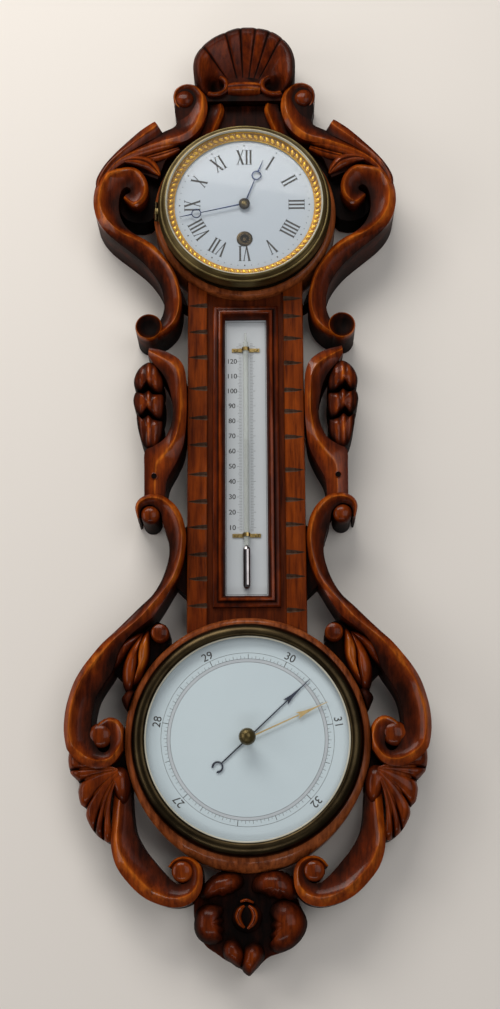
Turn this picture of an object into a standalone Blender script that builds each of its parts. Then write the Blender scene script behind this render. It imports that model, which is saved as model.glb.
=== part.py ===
"""Barometer clock: a carved oak wall case with a clock, a thermometer and an aneroid barometer.

Metres, +Z up. The front faces -Y and the back lies on the wall plane y = 0. The origin is on the back
of the hanging plate. A height in this file is a distance from the wall, towards the viewer.
"""
import math

import bmesh
import bpy
from mathutils import Matrix, Vector

# Whole case
DIAL_SPACING = 0.577
HANG_TO_CLOCK = 0.125
FIT_GAP = 0.0003
OVERRUN = 0.003
FULL_TURN = 2 * math.pi

# Column board and thermometer window
COLUMN_HALF_WIDTH = 0.0622
RAIL_WIDTH = 0.0185
RAIL_HEIGHT = 0.040
FIELD_HEIGHT = 0.036
NICK_COUNT = 10
NICK_PITCH = 0.0305
NICK_WIDTH = 0.014
NICK_TALL = 0.0042
NICK_DEPTH = 0.0030
WINDOW_HALF_WIDTH = 0.022
WINDOW_TOP = 0.456
MOULDING_WIDTH = 0.0125
MOULDING_TONGUE = 0.0012
MOULDING_TOP_HEIGHT = 0.044
RECESS_FLOOR_HEIGHT = 0.026
SCALE_THICKNESS = 0.003

# Turned surrounds
SURROUND_HEIGHT = 0.046
CLOCK_SURROUND_RADIUS = 0.100
CASE_RADIUS = 0.1061
BAROMETER_SURROUND_WALL = 0.0189
BAROMETER_SURROUND_RADIUS = CASE_RADIUS + BAROMETER_SURROUND_WALL
WINDOW_BOTTOM = BAROMETER_SURROUND_RADIUS + 2 * MOULDING_WIDTH
SURROUND_ROUNDING = 0.006

# Carved wings
WING_REACH = 0.9904 * BAROMETER_SURROUND_RADIUS
WING_HEIGHT = 0.060
SCROLL_WIDTH = 0.026
SCROLL_HOLLOW = 0.0045
GROUND_HEIGHT = 0.033
WRIST_HOLE_RADIUS = 0.0032
WRIST_HOLE_DEPTH = 0.030

# Shell crest
CREST_FIELD_HEIGHT = 0.030
CREST_FIELD_HALF_WIDTH = 0.0505
CREST_LIP_HEIGHT = 0.046
SHELL_SIDE_RADIUS = 0.057
SHELL_TOP_RADIUS = 0.077
SHELL_HEIGHT = 0.058
SHELL_EDGE_HEIGHT = 0.034
SHELL_HINGE_ABOVE_CLOCK = 0.145
FLUTE_COUNT = 9
FLUTE_DEPTH = 0.0050

# Flower pendant
PENDANT_HALF_WIDTH = 0.055
PENDANT_LENGTH = 0.105
PENDANT_GROUND_HEIGHT = 0.030
PETAL_HEIGHT = 0.052
PETAL_RADIUS = 0.0185
BUD_RADIUS = 0.0115

# Clock drum and movement
DRUM_RADIUS = 0.0841
DRUM_WALL = 0.0021
DRUM_BACK_HEIGHT = 0.003
FLANGE_RADIUS = 0.0935
FLANGE_THICKNESS = 0.0017
COVER_THICKNESS = 0.0015
PLATE_THICKNESS = 0.0025
BACK_PLATE_HEIGHT = 0.0150
BACK_PLATE_RADIUS = 0.074
FRONT_PLATE_HEIGHT = 0.0495
MOTION_SPACE = 0.0125
DRUM_FRONT_HEIGHT = FRONT_PLATE_HEIGHT + MOTION_SPACE
PILLAR_RADIUS = 0.0032
PILLAR_CIRCLE = 0.067
CLOCK_PILLAR_ANGLES = (20, 160, 215, 325)
WHEEL_THICKNESS = 0.0015
ARBOR_RADIUS = 0.0014
PIVOT_RADIUS = 0.0008
RUNNING_GAP = 0.0004

# Going train and motion work
BARREL_OFFSET = 0.0398
BARREL_TEETH = 42
CENTRE_PINION_TEETH = 7
BARREL_DRUM_RADIUS = 0.030
BARREL_BACK_HEIGHT = 0.020
BARREL_DEPTH = 0.014
BARREL_ARBOR_RADIUS = 0.0030
CENTRE_WHEEL_TEETH = 42
THIRD_PINION_TEETH = 7
GOING_MODULE = 0.001
THIRD_ANGLE = 150
THIRD_WHEEL_TEETH = 24
CANNON_TEETH = 8
MINUTE_WHEEL_TEETH = 24
MINUTE_PINION_TEETH = 7
HOUR_WHEEL_TEETH = 28
MOTION_MODULE = 0.0009
MOTION_ANGLE = 35
RATCHET_TEETH = 14
RATCHET_RADIUS = 0.0095
PLATFORM_ABOVE_CENTRE = 0.055
PLATFORM_HALF_WIDTH = 0.017
BALANCE_RADIUS = 0.2875 * (FRONT_PLATE_HEIGHT - BACK_PLATE_HEIGHT - PLATE_THICKNESS)
BALANCE_RIM = 0.0010
COCK_RISE = 0.0100

# Clock front
BEZEL_RADIUS = 0.0945
BEZEL_BORE = 0.0855
BEZEL_LIP_RADIUS = 0.0805
GLASS_THICKNESS = 0.0023
SIGHT_INNER_RADIUS = 0.0768
SIGHT_CLEARANCE = 0.0030
SIGHT_SLOPE = 0.0053
BEZEL_LIP_DEPTH = 0.0047
SIGHT_BACK_HEIGHT = DRUM_FRONT_HEIGHT + SIGHT_CLEARANCE
GLASS_BACK_HEIGHT = SIGHT_BACK_HEIGHT + SIGHT_SLOPE
BEZEL_FRONT_HEIGHT = GLASS_BACK_HEIGHT + BEZEL_LIP_DEPTH
DIAL_THICKNESS = 0.0015
DIAL_RADIUS = 0.0837
DIAL_HOLE_RADIUS = 0.0042
GROMMET_RADIUS = 0.0087
GROMMET_HOLE_RADIUS = 0.0050
HINGE_OFFSET = 0.0970
HINGE_HEIGHT = 0.0490
KNUCKLE_RADIUS = 0.0020
HINGE_PIN_RADIUS = 0.0008
KNUCKLE_LENGTH = 0.0070
HAND_THICKNESS = 0.0007
HOUR_HAND_LENGTH = 0.056
HOUR_MOON_PLACE = 0.0367
MINUTE_HAND_LENGTH = 0.072
MINUTE_MOON_PLACE = 0.0533
MOON_RADIUS = 0.0054
MOON_WIDTH = 0.0011
HAND_STEM_WIDTH = 0.0015
HAND_CLEARANCE = 0.0035
HAND_PITCH = 0.0020
HOUR_HAND_HEIGHT = DRUM_FRONT_HEIGHT + HAND_CLEARANCE
MINUTE_HAND_HEIGHT = HOUR_HAND_HEIGHT + HAND_PITCH
HOUR_HUB_RADIUS = 0.0058
MINUTE_HUB_RADIUS = 0.0042
HOUR_HAND_ANGLE = 21.5
MINUTE_HAND_ANGLE = 258.0
NUT_RADIUS = 0.0032
NUT_HEIGHT = 0.0013

# Barometer
CASE_WALL = 0.0015
CASE_FRONT_HEIGHT = 0.0452
CASE_BACK_HEIGHT = 0.003
WEATHER_DIAL_RADIUS = CASE_RADIUS - FIT_GAP * 2 / 3
WEATHER_DIAL_THICKNESS = 0.0017
SLIP_WIDTH = 0.0033
BAROMETER_BEZEL_WIDTH = 0.0107
SLIP_RADIUS = CASE_RADIUS + 3 * FIT_GAP
SLIP_INNER_RADIUS = SLIP_RADIUS - SLIP_WIDTH
BAROMETER_BEZEL_BORE = SLIP_RADIUS + FIT_GAP
BAROMETER_BEZEL_RADIUS = BAROMETER_BEZEL_BORE + BAROMETER_BEZEL_WIDTH
BAROMETER_BEZEL_LIP = SLIP_INNER_RADIUS + 0.25 * SLIP_WIDTH
BAROMETER_BEZEL_FRONT = 0.0580
BAROMETER_GLASS_BACK = 0.0515
BAROMETER_GLASS_THICKNESS = 0.0030
BAROMETER_GLASS_HOLE = 0.0026
PRESSURE_HAND_HEIGHT = 0.0482
PRESSURE_HAND_LENGTH = 0.088
PRESSURE_TAIL_LENGTH = 0.047
PRESSURE_BARB_PLACE = 0.066
SET_HAND_HEIGHT = 0.0500
SET_HAND_LENGTH = 0.089
SET_BARB_PLACE = 0.061
BARB_LENGTH = 0.010
BARB_WIDTH = 0.0052
INDEX_STEM_WIDTH = 0.0014
INDEX_HUB_RADIUS = 0.0045
PRESSURE_ANGLE = 46.8
SET_ANGLE = 66.0
KNOB_RADIUS = 0.0088
KNOB_STEM_RADIUS = 0.0021
KNOB_COLLAR_RADIUS = 0.0050

# Aneroid movement
BASE_PLATE_RADIUS = 0.062
BASE_PLATE_THICKNESS = 0.0020
ANEROID_PILLAR_CIRCLE = 0.050
ANEROID_PILLAR_RADIUS = 0.0025
ANEROID_PILLAR_ANGLES = (90, 210, 330)
BRIDGE_HEIGHT = 0.036
BRIDGE_ARM_WIDTH = 0.012
CAPSULE_RADIUS = 0.030
CAPSULE_OFFSET = 0.006
CAPSULE_THICKNESS = 0.0085
CAPSULE_RIPPLE = 0.0009
CAPSULE_RIPPLES = 3
STUD_RADIUS = 0.0020
SPRING_THICKNESS = 0.0012
SPRING_WIDTH = 0.020
SPRING_BEND_RADIUS = 0.0045
SPRING_BEND_PLACE = 0.038
SPRING_BEND_HEIGHT = 0.0250
SPRING_FOOT_LENGTH = 0.008
LEVER_WIDTH = 0.005
LEVER_THICKNESS = 0.0015
REGULATOR_OFFSET = 0.042
REGULATOR_HEIGHT = 0.0235
REGULATOR_RADIUS = 0.0022
REGULATOR_HALF_LENGTH = 0.026
BEARING_THICKNESS = 0.003
BEARING_WIDTH = 0.010
REGULATOR_ARM_PLACE = 0.005
REGULATOR_ARM_WIDTH = 0.003
LINK_RADIUS = 0.0008
HAND_ARBOR_RADIUS = 0.0011
PULLEY_RADIUS = 0.0050
HAIRSPRING_RADIUS = 0.0085
HAIRSPRING_WIRE = 0.00025
HAIRSPRING_TURNS = 3

# Thermometer
TUBE_RADIUS = 0.0029
TUBE_BORE_RADIUS = 0.0012
BULB_CLEARANCE = 0.0070
BULB_LENGTH = 0.0465
MERCURY_BULB_BOTTOM = WINDOW_BOTTOM + BULB_CLEARANCE
TUBE_BOTTOM = MERCURY_BULB_BOTTOM + BULB_LENGTH
TUBE_TOP = 0.4300
TUBE_EYE_LENGTH = 0.010
MERCURY_BULB_RADIUS = 0.0040
MERCURY_LEVEL = 0.320
CLIP_LENGTH = 0.030
CLIP_TALL = 0.0040
CLIP_THICKNESS = 0.0010
UPPER_CLIP_PLACE = 0.4215
CLIP_END_GAP = 0.0115
LOWER_CLIP_PLACE = TUBE_BOTTOM + CLIP_END_GAP
CLIP_SCREW_RADIUS = 0.0022

# Hanging plate
HANG_PLATE_HALF_WIDTH = 0.015
HANG_PLATE_TOP = 0.036
HANG_PLATE_BOTTOM = 0.018
HANG_PLATE_THICKNESS = 0.0020
KEYHOLE_RADIUS = 0.0055
KEYHOLE_SLOT_WIDTH = 0.0052
KEYHOLE_PLACE = 0.010
KEYHOLE_SLOT_TOP = 0.022
HOOK_POCKET_DEPTH = 0.012
HANG_SCREW_RADIUS = 0.0018
HANG_SCREW_HEAD_RADIUS = 0.0034
HANG_SCREW_LENGTH = 0.014
HANG_SCREW_PLACES = (-0.012, 0.030)

CLOCK_Z = -HANG_TO_CLOCK
BAROMETER_Z = CLOCK_Z - DIAL_SPACING

# Places on the carved wing. Across, a share of the wing's reach out from the column; up, a share of the
# dial spacing above the barometer's centre; then half the width, a share of the scroll width, and the
# height, a share of the wing's height.
UPPER_SCROLL_SHARES = (
    (0.402, 1.088, 0.19, 0.73), (0.548, 1.099, 0.31, 0.87), (0.685, 1.073, 0.42, 0.97),
    (0.742, 1.026, 0.48, 1.00), (0.693, 0.979, 0.48, 1.00), (0.548, 0.945, 0.42, 0.97),
    (0.386, 0.915, 0.38, 0.95), (0.257, 0.877, 0.37, 0.93), (0.168, 0.835, 0.37, 0.92),
    (0.136, 0.794, 0.37, 0.92), (0.176, 0.759, 0.31, 0.90), (0.257, 0.742, 0.23, 0.87),
    (0.354, 0.738, 0.17, 0.83), (0.418, 0.750, 0.13, 0.80))
HUSK_SCROLL_SHARES = (
    (0.338, 0.719, 0.13, 0.77), (0.241, 0.700, 0.23, 0.87), (0.128, 0.669, 0.29, 0.92),
    (0.055, 0.629, 0.27, 0.93), (0.047, 0.589, 0.27, 0.93), (0.095, 0.549, 0.31, 0.93),
    (0.200, 0.518, 0.35, 0.93), (0.265, 0.485, 0.38, 0.90), (0.273, 0.440, 0.38, 0.87))
LOWER_SCROLL_SHARES = (
    (0.386, 0.400, 0.13, 0.77), (0.370, 0.421, 0.19, 0.83), (0.281, 0.430, 0.23, 0.90),
    (0.176, 0.418, 0.31, 0.93), (0.095, 0.388, 0.35, 0.93), (0.063, 0.347, 0.37, 0.93),
    (0.087, 0.303, 0.38, 0.93), (0.152, 0.263, 0.42, 0.95), (0.281, 0.229, 0.46, 0.97),
    (0.451, 0.194, 0.48, 0.98), (0.620, 0.156, 0.50, 1.00), (0.766, 0.113, 0.50, 1.00),
    (0.863, 0.066, 0.50, 1.00), (0.887, 0.021, 0.50, 1.00), (0.822, -0.012, 0.42, 0.98),
    (0.701, -0.026, 0.31, 0.95), (0.588, -0.016, 0.23, 0.92), (0.556, 0.007, 0.17, 0.88),
    (0.612, 0.023, 0.13, 0.83), (0.655, 0.015, 0.13, 0.80))
FOOT_SCROLL_SHARES = (
    (0.540, -0.062, 0.19, 0.73), (0.572, -0.101, 0.27, 0.83), (0.556, -0.142, 0.35, 0.90),
    (0.491, -0.182, 0.40, 0.95), (0.386, -0.218, 0.42, 0.97), (0.249, -0.246, 0.42, 0.97),
    (0.103, -0.262, 0.38, 0.95), (-0.018, -0.256, 0.29, 0.92), (-0.074, -0.237, 0.19, 0.88),
    (-0.042, -0.218, 0.13, 0.83))
LEAF_SHARES = (
    ((0.063, 1.151, 0.15, 0.67), (0.176, 1.144, 0.23, 0.77), (0.273, 1.158, 0.19, 0.80),
     (0.313, 1.173, 0.08, 0.73)),
    ((0.192, 1.118, 0.19, 0.70), (0.338, 1.133, 0.27, 0.83), (0.483, 1.137, 0.23, 0.83),
     (0.580, 1.120, 0.15, 0.77)),
    ((-0.082, 1.234, 0.12, 0.73), (-0.095, 1.206, 0.19, 0.83), (-0.050, 1.180, 0.23, 0.83),
     (0.063, 1.158, 0.19, 0.77)),
    ((0.523, -0.045, 0.15, 0.67), (0.661, -0.042, 0.31, 0.87), (0.806, -0.045, 0.35, 0.90),
     (0.903, -0.055, 0.19, 0.77)),
    ((0.532, -0.059, 0.19, 0.67), (0.653, -0.076, 0.35, 0.87), (0.766, -0.097, 0.35, 0.87),
     (0.814, -0.114, 0.19, 0.73)),
    ((0.564, -0.080, 0.19, 0.67), (0.645, -0.114, 0.35, 0.83), (0.709, -0.142, 0.35, 0.83),
     (0.693, -0.163, 0.19, 0.70)),
    ((0.176, 0.218, 0.15, 0.67), (0.305, 0.191, 0.27, 0.83), (0.410, 0.156, 0.31, 0.87),
     (0.483, 0.121, 0.23, 0.80), (0.523, 0.094, 0.10, 0.67)),
    ((0.289, 0.170, 0.15, 0.63), (0.354, 0.139, 0.23, 0.77), (0.410, 0.107, 0.19, 0.73),
     (0.459, 0.080, 0.12, 0.63)))

# Round eyes of the volutes: place as above, radius in shares of the scroll width, top as a share of height
EYE_SHARES = (
    (0.507, 1.036, 0.65, 0.93), (0.330, 0.761, 0.42, 0.77), (0.313, 0.400, 0.35, 0.87),
    (0.685, 0.007, 0.35, 0.90), (0.023, -0.232, 0.33, 0.90), (0.015, 1.224, 0.54, 0.83),
    (0.249, 0.187, 0.38, 0.77))
# Lobes of the husk: place, half width and half length in shares of the scroll width
LOBE_SHARES = ((0.313, 0.669, 0.50, 0.62), (0.313, 0.620, 0.56, 0.60), (0.321, 0.567, 0.42, 0.94))

# Flat ground that the scrolls stand on, as outlines in the same shares
GROUND_SHARES = (
    ((-0.131, 1.260), (-0.002, 1.256), (0.111, 1.237), (0.128, 1.213), (0.103, 1.189), (0.079, 1.166),
     (0.208, 1.151), (0.305, 1.177), (0.483, 1.146), (0.669, 1.104), (0.790, 1.064), (0.838, 1.023),
     (0.814, 0.981), (0.725, 0.948), (0.532, 0.920), (0.402, 0.948), (0.281, 0.964), (0.144, 1.000),
     (-0.131, 1.127)),
    ((0.305, 0.924), (0.249, 0.920), (0.063, 0.901), (-0.018, 0.815), (0.031, 0.763), (0.087, 0.707),
     (0.192, 0.700), (0.289, 0.728), (0.225, 0.780), (0.241, 0.832), (0.338, 0.875)),
    ((0.257, 0.711), (0.087, 0.707), (-0.002, 0.681), (-0.034, 0.659), (-0.034, 0.516), (-0.002, 0.501),
     (0.144, 0.468), (0.160, 0.442), (0.289, 0.442), (0.281, 0.520), (0.160, 0.551), (0.103, 0.598),
     (0.168, 0.634), (0.265, 0.685)),
    ((0.176, 0.416), (0.031, 0.402), (-0.034, 0.374), (-0.034, 0.263), (0.031, 0.243), (0.128, 0.201),
     (0.095, 0.170), (0.031, 0.153), (0.338, 0.069), (0.483, 0.052), (0.523, 0.069), (0.499, 0.090),
     (0.556, 0.104), (0.645, 0.097), (0.725, 0.080), (0.822, 0.104), (0.653, 0.159), (0.402, 0.215),
     (0.208, 0.260), (0.136, 0.329)),
    ((0.435, 0.042), (0.596, 0.042), (0.709, -0.026), (0.935, -0.021), (0.943, -0.052), (0.871, -0.078),
     (0.855, -0.101), (0.806, -0.121), (0.790, -0.142), (0.709, -0.165), (0.612, -0.180), (0.515, -0.156),
     (0.443, -0.125), (0.410, -0.101), (0.305, -0.087), (0.386, -0.017)),
    ((0.144, -0.232), (0.031, -0.206), (-0.115, -0.187), (-0.115, -0.217), (-0.115, -0.253),
     (-0.050, -0.263), (0.063, -0.256)))
WRIST_HOLE_SHARES = (0.269, 0.471)

COLOURS = {
    "wood": ((0.115, 0.030, 0.010), 0.28, 0.0),
    "column_wood": ((0.190, 0.060, 0.018), 0.30, 0.0),
    "brass": ((0.55, 0.38, 0.13), 0.30, 1.0),
    "dark_brass": ((0.13, 0.10, 0.04), 0.35, 1.0),
    "gilt": ((0.80, 0.52, 0.12), 0.25, 1.0),
    "enamel": ((0.82, 0.84, 0.86), 0.15, 0.0),
    "glass": ((0.90, 0.95, 0.95), 0.05, 0.0),
    "blued_steel": ((0.02, 0.03, 0.07), 0.25, 1.0),
    "steel": ((0.45, 0.46, 0.48), 0.30, 1.0),
    "mercury": ((0.60, 0.60, 0.62), 0.12, 1.0),
}


def clear_scene():
    for stale in list(bpy.data.objects):
        bpy.data.objects.remove(stale, do_unlink=True)


def make_materials():
    made = {}
    for name, (colour, roughness, metallic) in COLOURS.items():
        material = bpy.data.materials.new(name)
        material.use_nodes = True
        shader = material.node_tree.nodes["Principled BSDF"]
        shader.inputs["Base Color"].default_value = (*colour, 1)
        shader.inputs["Roughness"].default_value = roughness
        shader.inputs["Metallic"].default_value = metallic
        made[name] = material
    return made


clear_scene()
MATERIALS = make_materials()
MODEL = bpy.data.collections.new("barometer_clock")
bpy.context.scene.collection.children.link(MODEL)


# Tools for making pieces

def at(x, z, height):
    """A place in the world: across, up, and out from the wall."""
    return Vector((x, -height, z))


def new_object(name, data, material):
    obj = bpy.data.objects.new(name, data)
    MODEL.objects.link(obj)
    if material:
        data.materials.append(MATERIALS[material])
    return obj


def tidy(obj, smooth_angle=35):
    """Merge doubles, turn every face outwards and shade the round stretches smooth."""
    work = bmesh.new()
    work.from_mesh(obj.data)
    bmesh.ops.remove_doubles(work, verts=work.verts, dist=FIT_GAP / 100)
    bmesh.ops.recalc_face_normals(work, faces=work.faces)
    work.to_mesh(obj.data)
    work.free()
    obj.data.shade_smooth()
    obj.data.set_sharp_from_angle(angle=math.radians(smooth_angle))
    return obj


def baked(obj):
    """The object as a plain mesh in world space, with its modifiers applied."""
    bpy.context.view_layer.update()
    graph = bpy.context.evaluated_depsgraph_get()
    mesh = bpy.data.meshes.new_from_object(obj.evaluated_get(graph), depsgraph=graph)
    mesh.transform(obj.matrix_world)
    name = obj.name
    bpy.data.objects.remove(obj, do_unlink=True)
    plain = bpy.data.objects.new(name, mesh)
    MODEL.objects.link(plain)
    plain.name = name
    return tidy(plain)


def boolean(obj, other, operation):
    modifier = obj.modifiers.new(operation.title(), "BOOLEAN")
    modifier.operation = operation
    modifier.solver = "EXACT"
    modifier.object = other
    result = baked(obj)
    bpy.data.objects.remove(other, do_unlink=True)
    return result


def cut(obj, *cutters):
    for cutter in cutters:
        obj = boolean(obj, cutter, "DIFFERENCE")
    return obj


def joined(obj, *others):
    for other in others:
        obj = boolean(obj, other, "UNION")
    return obj


def profile_ring(shares, inner, outer, back, front):
    """Radius and height pairs from shares of a ring's width and depth."""
    return [(inner + across * (outer - inner), back + up * (front - back)) for across, up in shares]


RING_STEPS = 40


def turned(name, profile, x, z, material=None, steps=RING_STEPS):
    """A profile of (radius, height) pairs turned about an axis that points at the viewer.

    A solid's profile starts and ends on the axis; a ring's runs down its outer side and closes.
    """
    mesh = bpy.data.meshes.new(name)
    count = len(profile)
    is_ring = min(radius for radius, _ in profile) > 0
    edges = [(i, i + 1) for i in range(count - 1)]
    if is_ring:
        edges.append((count - 1, 0))
    mesh.from_pydata([(radius, 0, height) for radius, height in profile], edges, [])
    obj = new_object(name, mesh, material)
    obj.location = (x, 0, z)
    obj.rotation_euler = (math.pi / 2, 0, 0)
    screw = obj.modifiers.new("Screw", "SCREW")
    screw.steps = steps
    screw.render_steps = steps
    screw.use_merge_vertices = True
    screw.merge_threshold = FIT_GAP / 100
    return baked(obj)


def disc(name, radius, back, front, x, z, material=None, steps=RING_STEPS):
    return turned(name, [(0, front), (radius, front), (radius, back), (0, back)], x, z, material, steps)


def ring(name, inner, outer, back, front, x, z, material=None, steps=RING_STEPS):
    profile = [(inner, front), (outer, front), (outer, back), (inner, back)]
    return turned(name, profile, x, z, material, steps)


def flat(name, loops, back, front, material=None):
    """Flat outlines of (across, up) points, extruded from one height to another; later loops are holes."""
    curve = bpy.data.curves.new(name, "CURVE")
    curve.dimensions = "2D"
    curve.fill_mode = "BOTH"
    curve.extrude = (front - back) / 2
    for loop in loops:
        spline = curve.splines.new("POLY")
        spline.points.add(len(loop) - 1)
        for point, (across, up) in zip(spline.points, loop):
            point.co = (across, up, 0, 1)
        spline.use_cyclic_u = True
    obj = new_object(name, curve, material)
    obj.location = (0, -(front + back) / 2, 0)
    obj.rotation_euler = (math.pi / 2, 0, 0)
    return baked(obj)


def standing(name, outline, bottom, top, material=None):
    """An outline of (across, height) points, extruded upwards."""
    rings = [[at(across, level, height) for across, height in outline] for level in (bottom, top)]
    return loft(name, rings, material)


def sideways(name, outline, left, right, material=None):
    """An outline of (up, height) points, extruded across."""
    rings = [[at(across, up, height) for up, height in outline] for across in (left, right)]
    return loft(name, rings, material)


def box(name, left, right, bottom, top, back, front, material=None):
    bpy.ops.mesh.primitive_cube_add(size=1)
    obj = bpy.context.active_object
    obj.name = name
    size = Vector((right - left, front - back, top - bottom))
    middle = at((left + right) / 2, (bottom + top) / 2, (back + front) / 2)
    obj.data.transform(Matrix.Translation(middle) @ Matrix.Diagonal((*size, 1)))
    for home in list(obj.users_collection):
        home.objects.unlink(obj)
    MODEL.objects.link(obj)
    if material:
        obj.data.materials.append(MATERIALS[material])
    return obj


def ball(name, x, z, height, across, up, deep, material=None, segments=10, rings=5):
    """An egg shape with its own half sizes across, up and deep."""
    bpy.ops.mesh.primitive_uv_sphere_add(radius=1, segments=segments, ring_count=rings)
    obj = bpy.context.active_object
    obj.name = name
    turn = Matrix.Rotation(math.pi / 2, 4, "X")
    obj.data.transform(Matrix.Translation(at(x, z, height)) @ Matrix.Diagonal((across, deep, up, 1)) @ turn)
    for home in list(obj.users_collection):
        home.objects.unlink(obj)
    MODEL.objects.link(obj)
    if material:
        obj.data.materials.append(MATERIALS[material])
    return obj


def loft(name, rings, material=None, closed=False):
    """A body through rings of points that all have the same count."""
    count = len(rings[0])
    verts = [tuple(point) for points in rings for point in points]
    spans = len(rings) if closed else len(rings) - 1
    faces = []
    for span in range(spans):
        low = span * count
        high = (span + 1) % len(rings) * count
        for i in range(count):
            after = (i + 1) % count
            faces.append((low + i, low + after, high + after, high + i))
    if not closed:
        faces.append(tuple(reversed(range(count))))
        faces.append(tuple(range(spans * count, spans * count + count)))
    mesh = bpy.data.meshes.new(name)
    mesh.from_pydata(verts, [], faces)
    return tidy(new_object(name, mesh, material))


def smooth(points, steps=2):
    """A smooth run through the points, with the given number of steps between two of them."""
    run = []
    for i in range(len(points) - 1):
        before = points[max(i - 1, 0)]
        start, end = points[i], points[i + 1]
        after = points[min(i + 2, len(points) - 1)]
        for step in range(steps):
            t = step / steps
            run.append(tuple(
                0.5 * (2 * b + (c - a) * t + (2 * a - 5 * b + 4 * c - d) * t * t
                       + (3 * b - a - 3 * c + d) * t ** 3)
                for a, b, c, d in zip(before, start, end, after)))
    run.append(tuple(points[-1]))
    return run


def polar(radius, degrees, x=0.0, z=0.0):
    """A point at an angle counted anticlockwise from the right."""
    turn = math.radians(degrees)
    return (x + radius * math.cos(turn), z + radius * math.sin(turn))


def circle(radius, x, z, count=24):
    return [polar(radius, 360 * i / count, x, z) for i in range(count)]


def rectangle(left, right, bottom, top):
    return [(left, bottom), (right, bottom), (right, top), (left, top)]


def carried(name, place, *pieces):
    """An empty on a joint's axis that carries the pieces of one moving body."""
    axis = bpy.data.objects.new(name, None)
    MODEL.objects.link(axis)
    axis.location = place
    for piece in pieces:
        piece.parent = axis
        piece.data.transform(Matrix.Translation(-Vector(place)))
    return axis


# Gears

ADDENDUM_SHARE = 0.80
DEDENDUM_SHARE = 1.20
TOOTH_FOOT_SHARE = 0.62
TOOTH_TIP_SHARE = 0.30


def gear_outline(teeth, module, tooth_angle, x, z):
    """Straight-flanked teeth, one of them centred at the given angle."""
    pitch_radius = teeth * module / 2
    tip = pitch_radius + ADDENDUM_SHARE * module
    root = pitch_radius - DEDENDUM_SHARE * module
    pitch = 360 / teeth
    outline = []
    for tooth in range(teeth):
        middle = tooth_angle + tooth * pitch
        for radius, share in ((root, -TOOTH_FOOT_SHARE), (tip, -TOOTH_TIP_SHARE),
                              (tip, TOOTH_TIP_SHARE), (root, TOOTH_FOOT_SHARE)):
            outline.append(polar(radius, middle + share * pitch / 2, x, z))
    return outline


def meshing_angle(direction, teeth):
    """Where a tooth lies on the second wheel, when the first has one pointing along the direction."""
    return direction + 180 + 180 / teeth


# Wood

def wing_place(across, up):
    """A place on the left wing from its shares."""
    return -(COLUMN_HALF_WIDTH + across * WING_REACH), BAROMETER_Z + up * DIAL_SPACING


def wing_run(shares, steps):
    run = []
    for across, up, width, height in smooth(shares, steps):
        x, z = wing_place(across, up)
        run.append((x, z, width * SCROLL_WIDTH, height * WING_HEIGHT))
    return run


def strip(name, run, section, back):
    """A carved strip along a run of (x, z, half width, height), with a section of (across, drop) shares."""
    rings = []
    for i, (x, z, half, height) in enumerate(run):
        behind = run[max(i - 1, 0)]
        ahead = run[min(i + 1, len(run) - 1)]
        along = Vector((ahead[0] - behind[0], ahead[1] - behind[1])).normalized()
        side = Vector((-along.y, along.x))
        points = [at(x + side.x * half * across, z + side.y * half * across, height - drop * SCROLL_HOLLOW)
                  for across, drop in section]
        last = section[-1][0]
        points.append(at(x + side.x * half * last, z + side.y * half * last, back))
        points.append(at(x - side.x * half * last, z - side.y * half * last, back))
        rings.append(points)
    return loft(name, rings, "wood")


HOLLOW_SECTION_SHARES = ((-1.0, 0.45), (-0.74, 0.0), (0.0, 1.0), (0.74, 0.0), (1.0, 0.45))
RIDGE_SECTION_SHARES = ((-1.0, 1.5), (0.0, 0.0), (1.0, 1.5))


def left_wing():
    """Scrolls, leaves, eyes and husk on their ground, trimmed to the column and the two surrounds."""
    body = None
    for index, shares in enumerate(GROUND_SHARES):
        outline = [wing_place(across, up) for across, up in shares]
        ground = flat("wing_ground", [outline], -OVERRUN * (1 + index / 10), GROUND_HEIGHT, "wood")
        body = joined(body, ground) if body else ground
    strips = [(shares, HOLLOW_SECTION_SHARES, 2) for shares in (UPPER_SCROLL_SHARES, LOWER_SCROLL_SHARES)]
    strips += [(shares, HOLLOW_SECTION_SHARES, 1) for shares in (HUSK_SCROLL_SHARES, FOOT_SCROLL_SHARES)]
    strips += [(shares, RIDGE_SECTION_SHARES, 1) for shares in LEAF_SHARES]
    for index, (shares, section, steps) in enumerate(strips):
        body = joined(body, strip("carving", wing_run(shares, steps), section, -OVERRUN * (2 + index / 10)))
    for across, up, radius, top in EYE_SHARES:
        x, z = wing_place(across, up)
        size = radius * SCROLL_WIDTH
        body = joined(body, ball("eye", x, z, top * WING_HEIGHT - size, size, size, size))
    for across, up, half, length in LOBE_SHARES:
        x, z = wing_place(across, up)
        deep = GROUND_HEIGHT / 2
        body = joined(body, ball("lobe", x, z, GROUND_HEIGHT, half * SCROLL_WIDTH, length * SCROLL_WIDTH, deep))
    hole_x, hole_z = wing_place(*WRIST_HOLE_SHARES)
    far = 2 * WING_REACH
    return cut(
        body,
        box("behind_wall", -far * 2, far, BAROMETER_Z - far, far, -far, 0),
        box("column_side", -COLUMN_HALF_WIDTH - FIT_GAP, far, BAROMETER_Z, CLOCK_Z, -far, far),
        box("pendant_side", -PENDANT_HALF_WIDTH * 0.85, far, BAROMETER_Z - far, BAROMETER_Z, -far, far),
        box("crest_side", -CREST_FIELD_HALF_WIDTH - FIT_GAP, far, CLOCK_Z, far, -far, far),
        flat("shell_side", [shell_outline(FIT_GAP)], -far, far),
        disc("clock_side", CLOCK_SURROUND_RADIUS + FIT_GAP, -far, far, 0, CLOCK_Z),
        disc("barometer_side", BAROMETER_SURROUND_RADIUS + FIT_GAP, -far, far, 0, BAROMETER_Z),
        disc("wrist_hole", WRIST_HOLE_RADIUS, WING_HEIGHT - WRIST_HOLE_DEPTH, far, hole_x, hole_z, steps=16))


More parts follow.
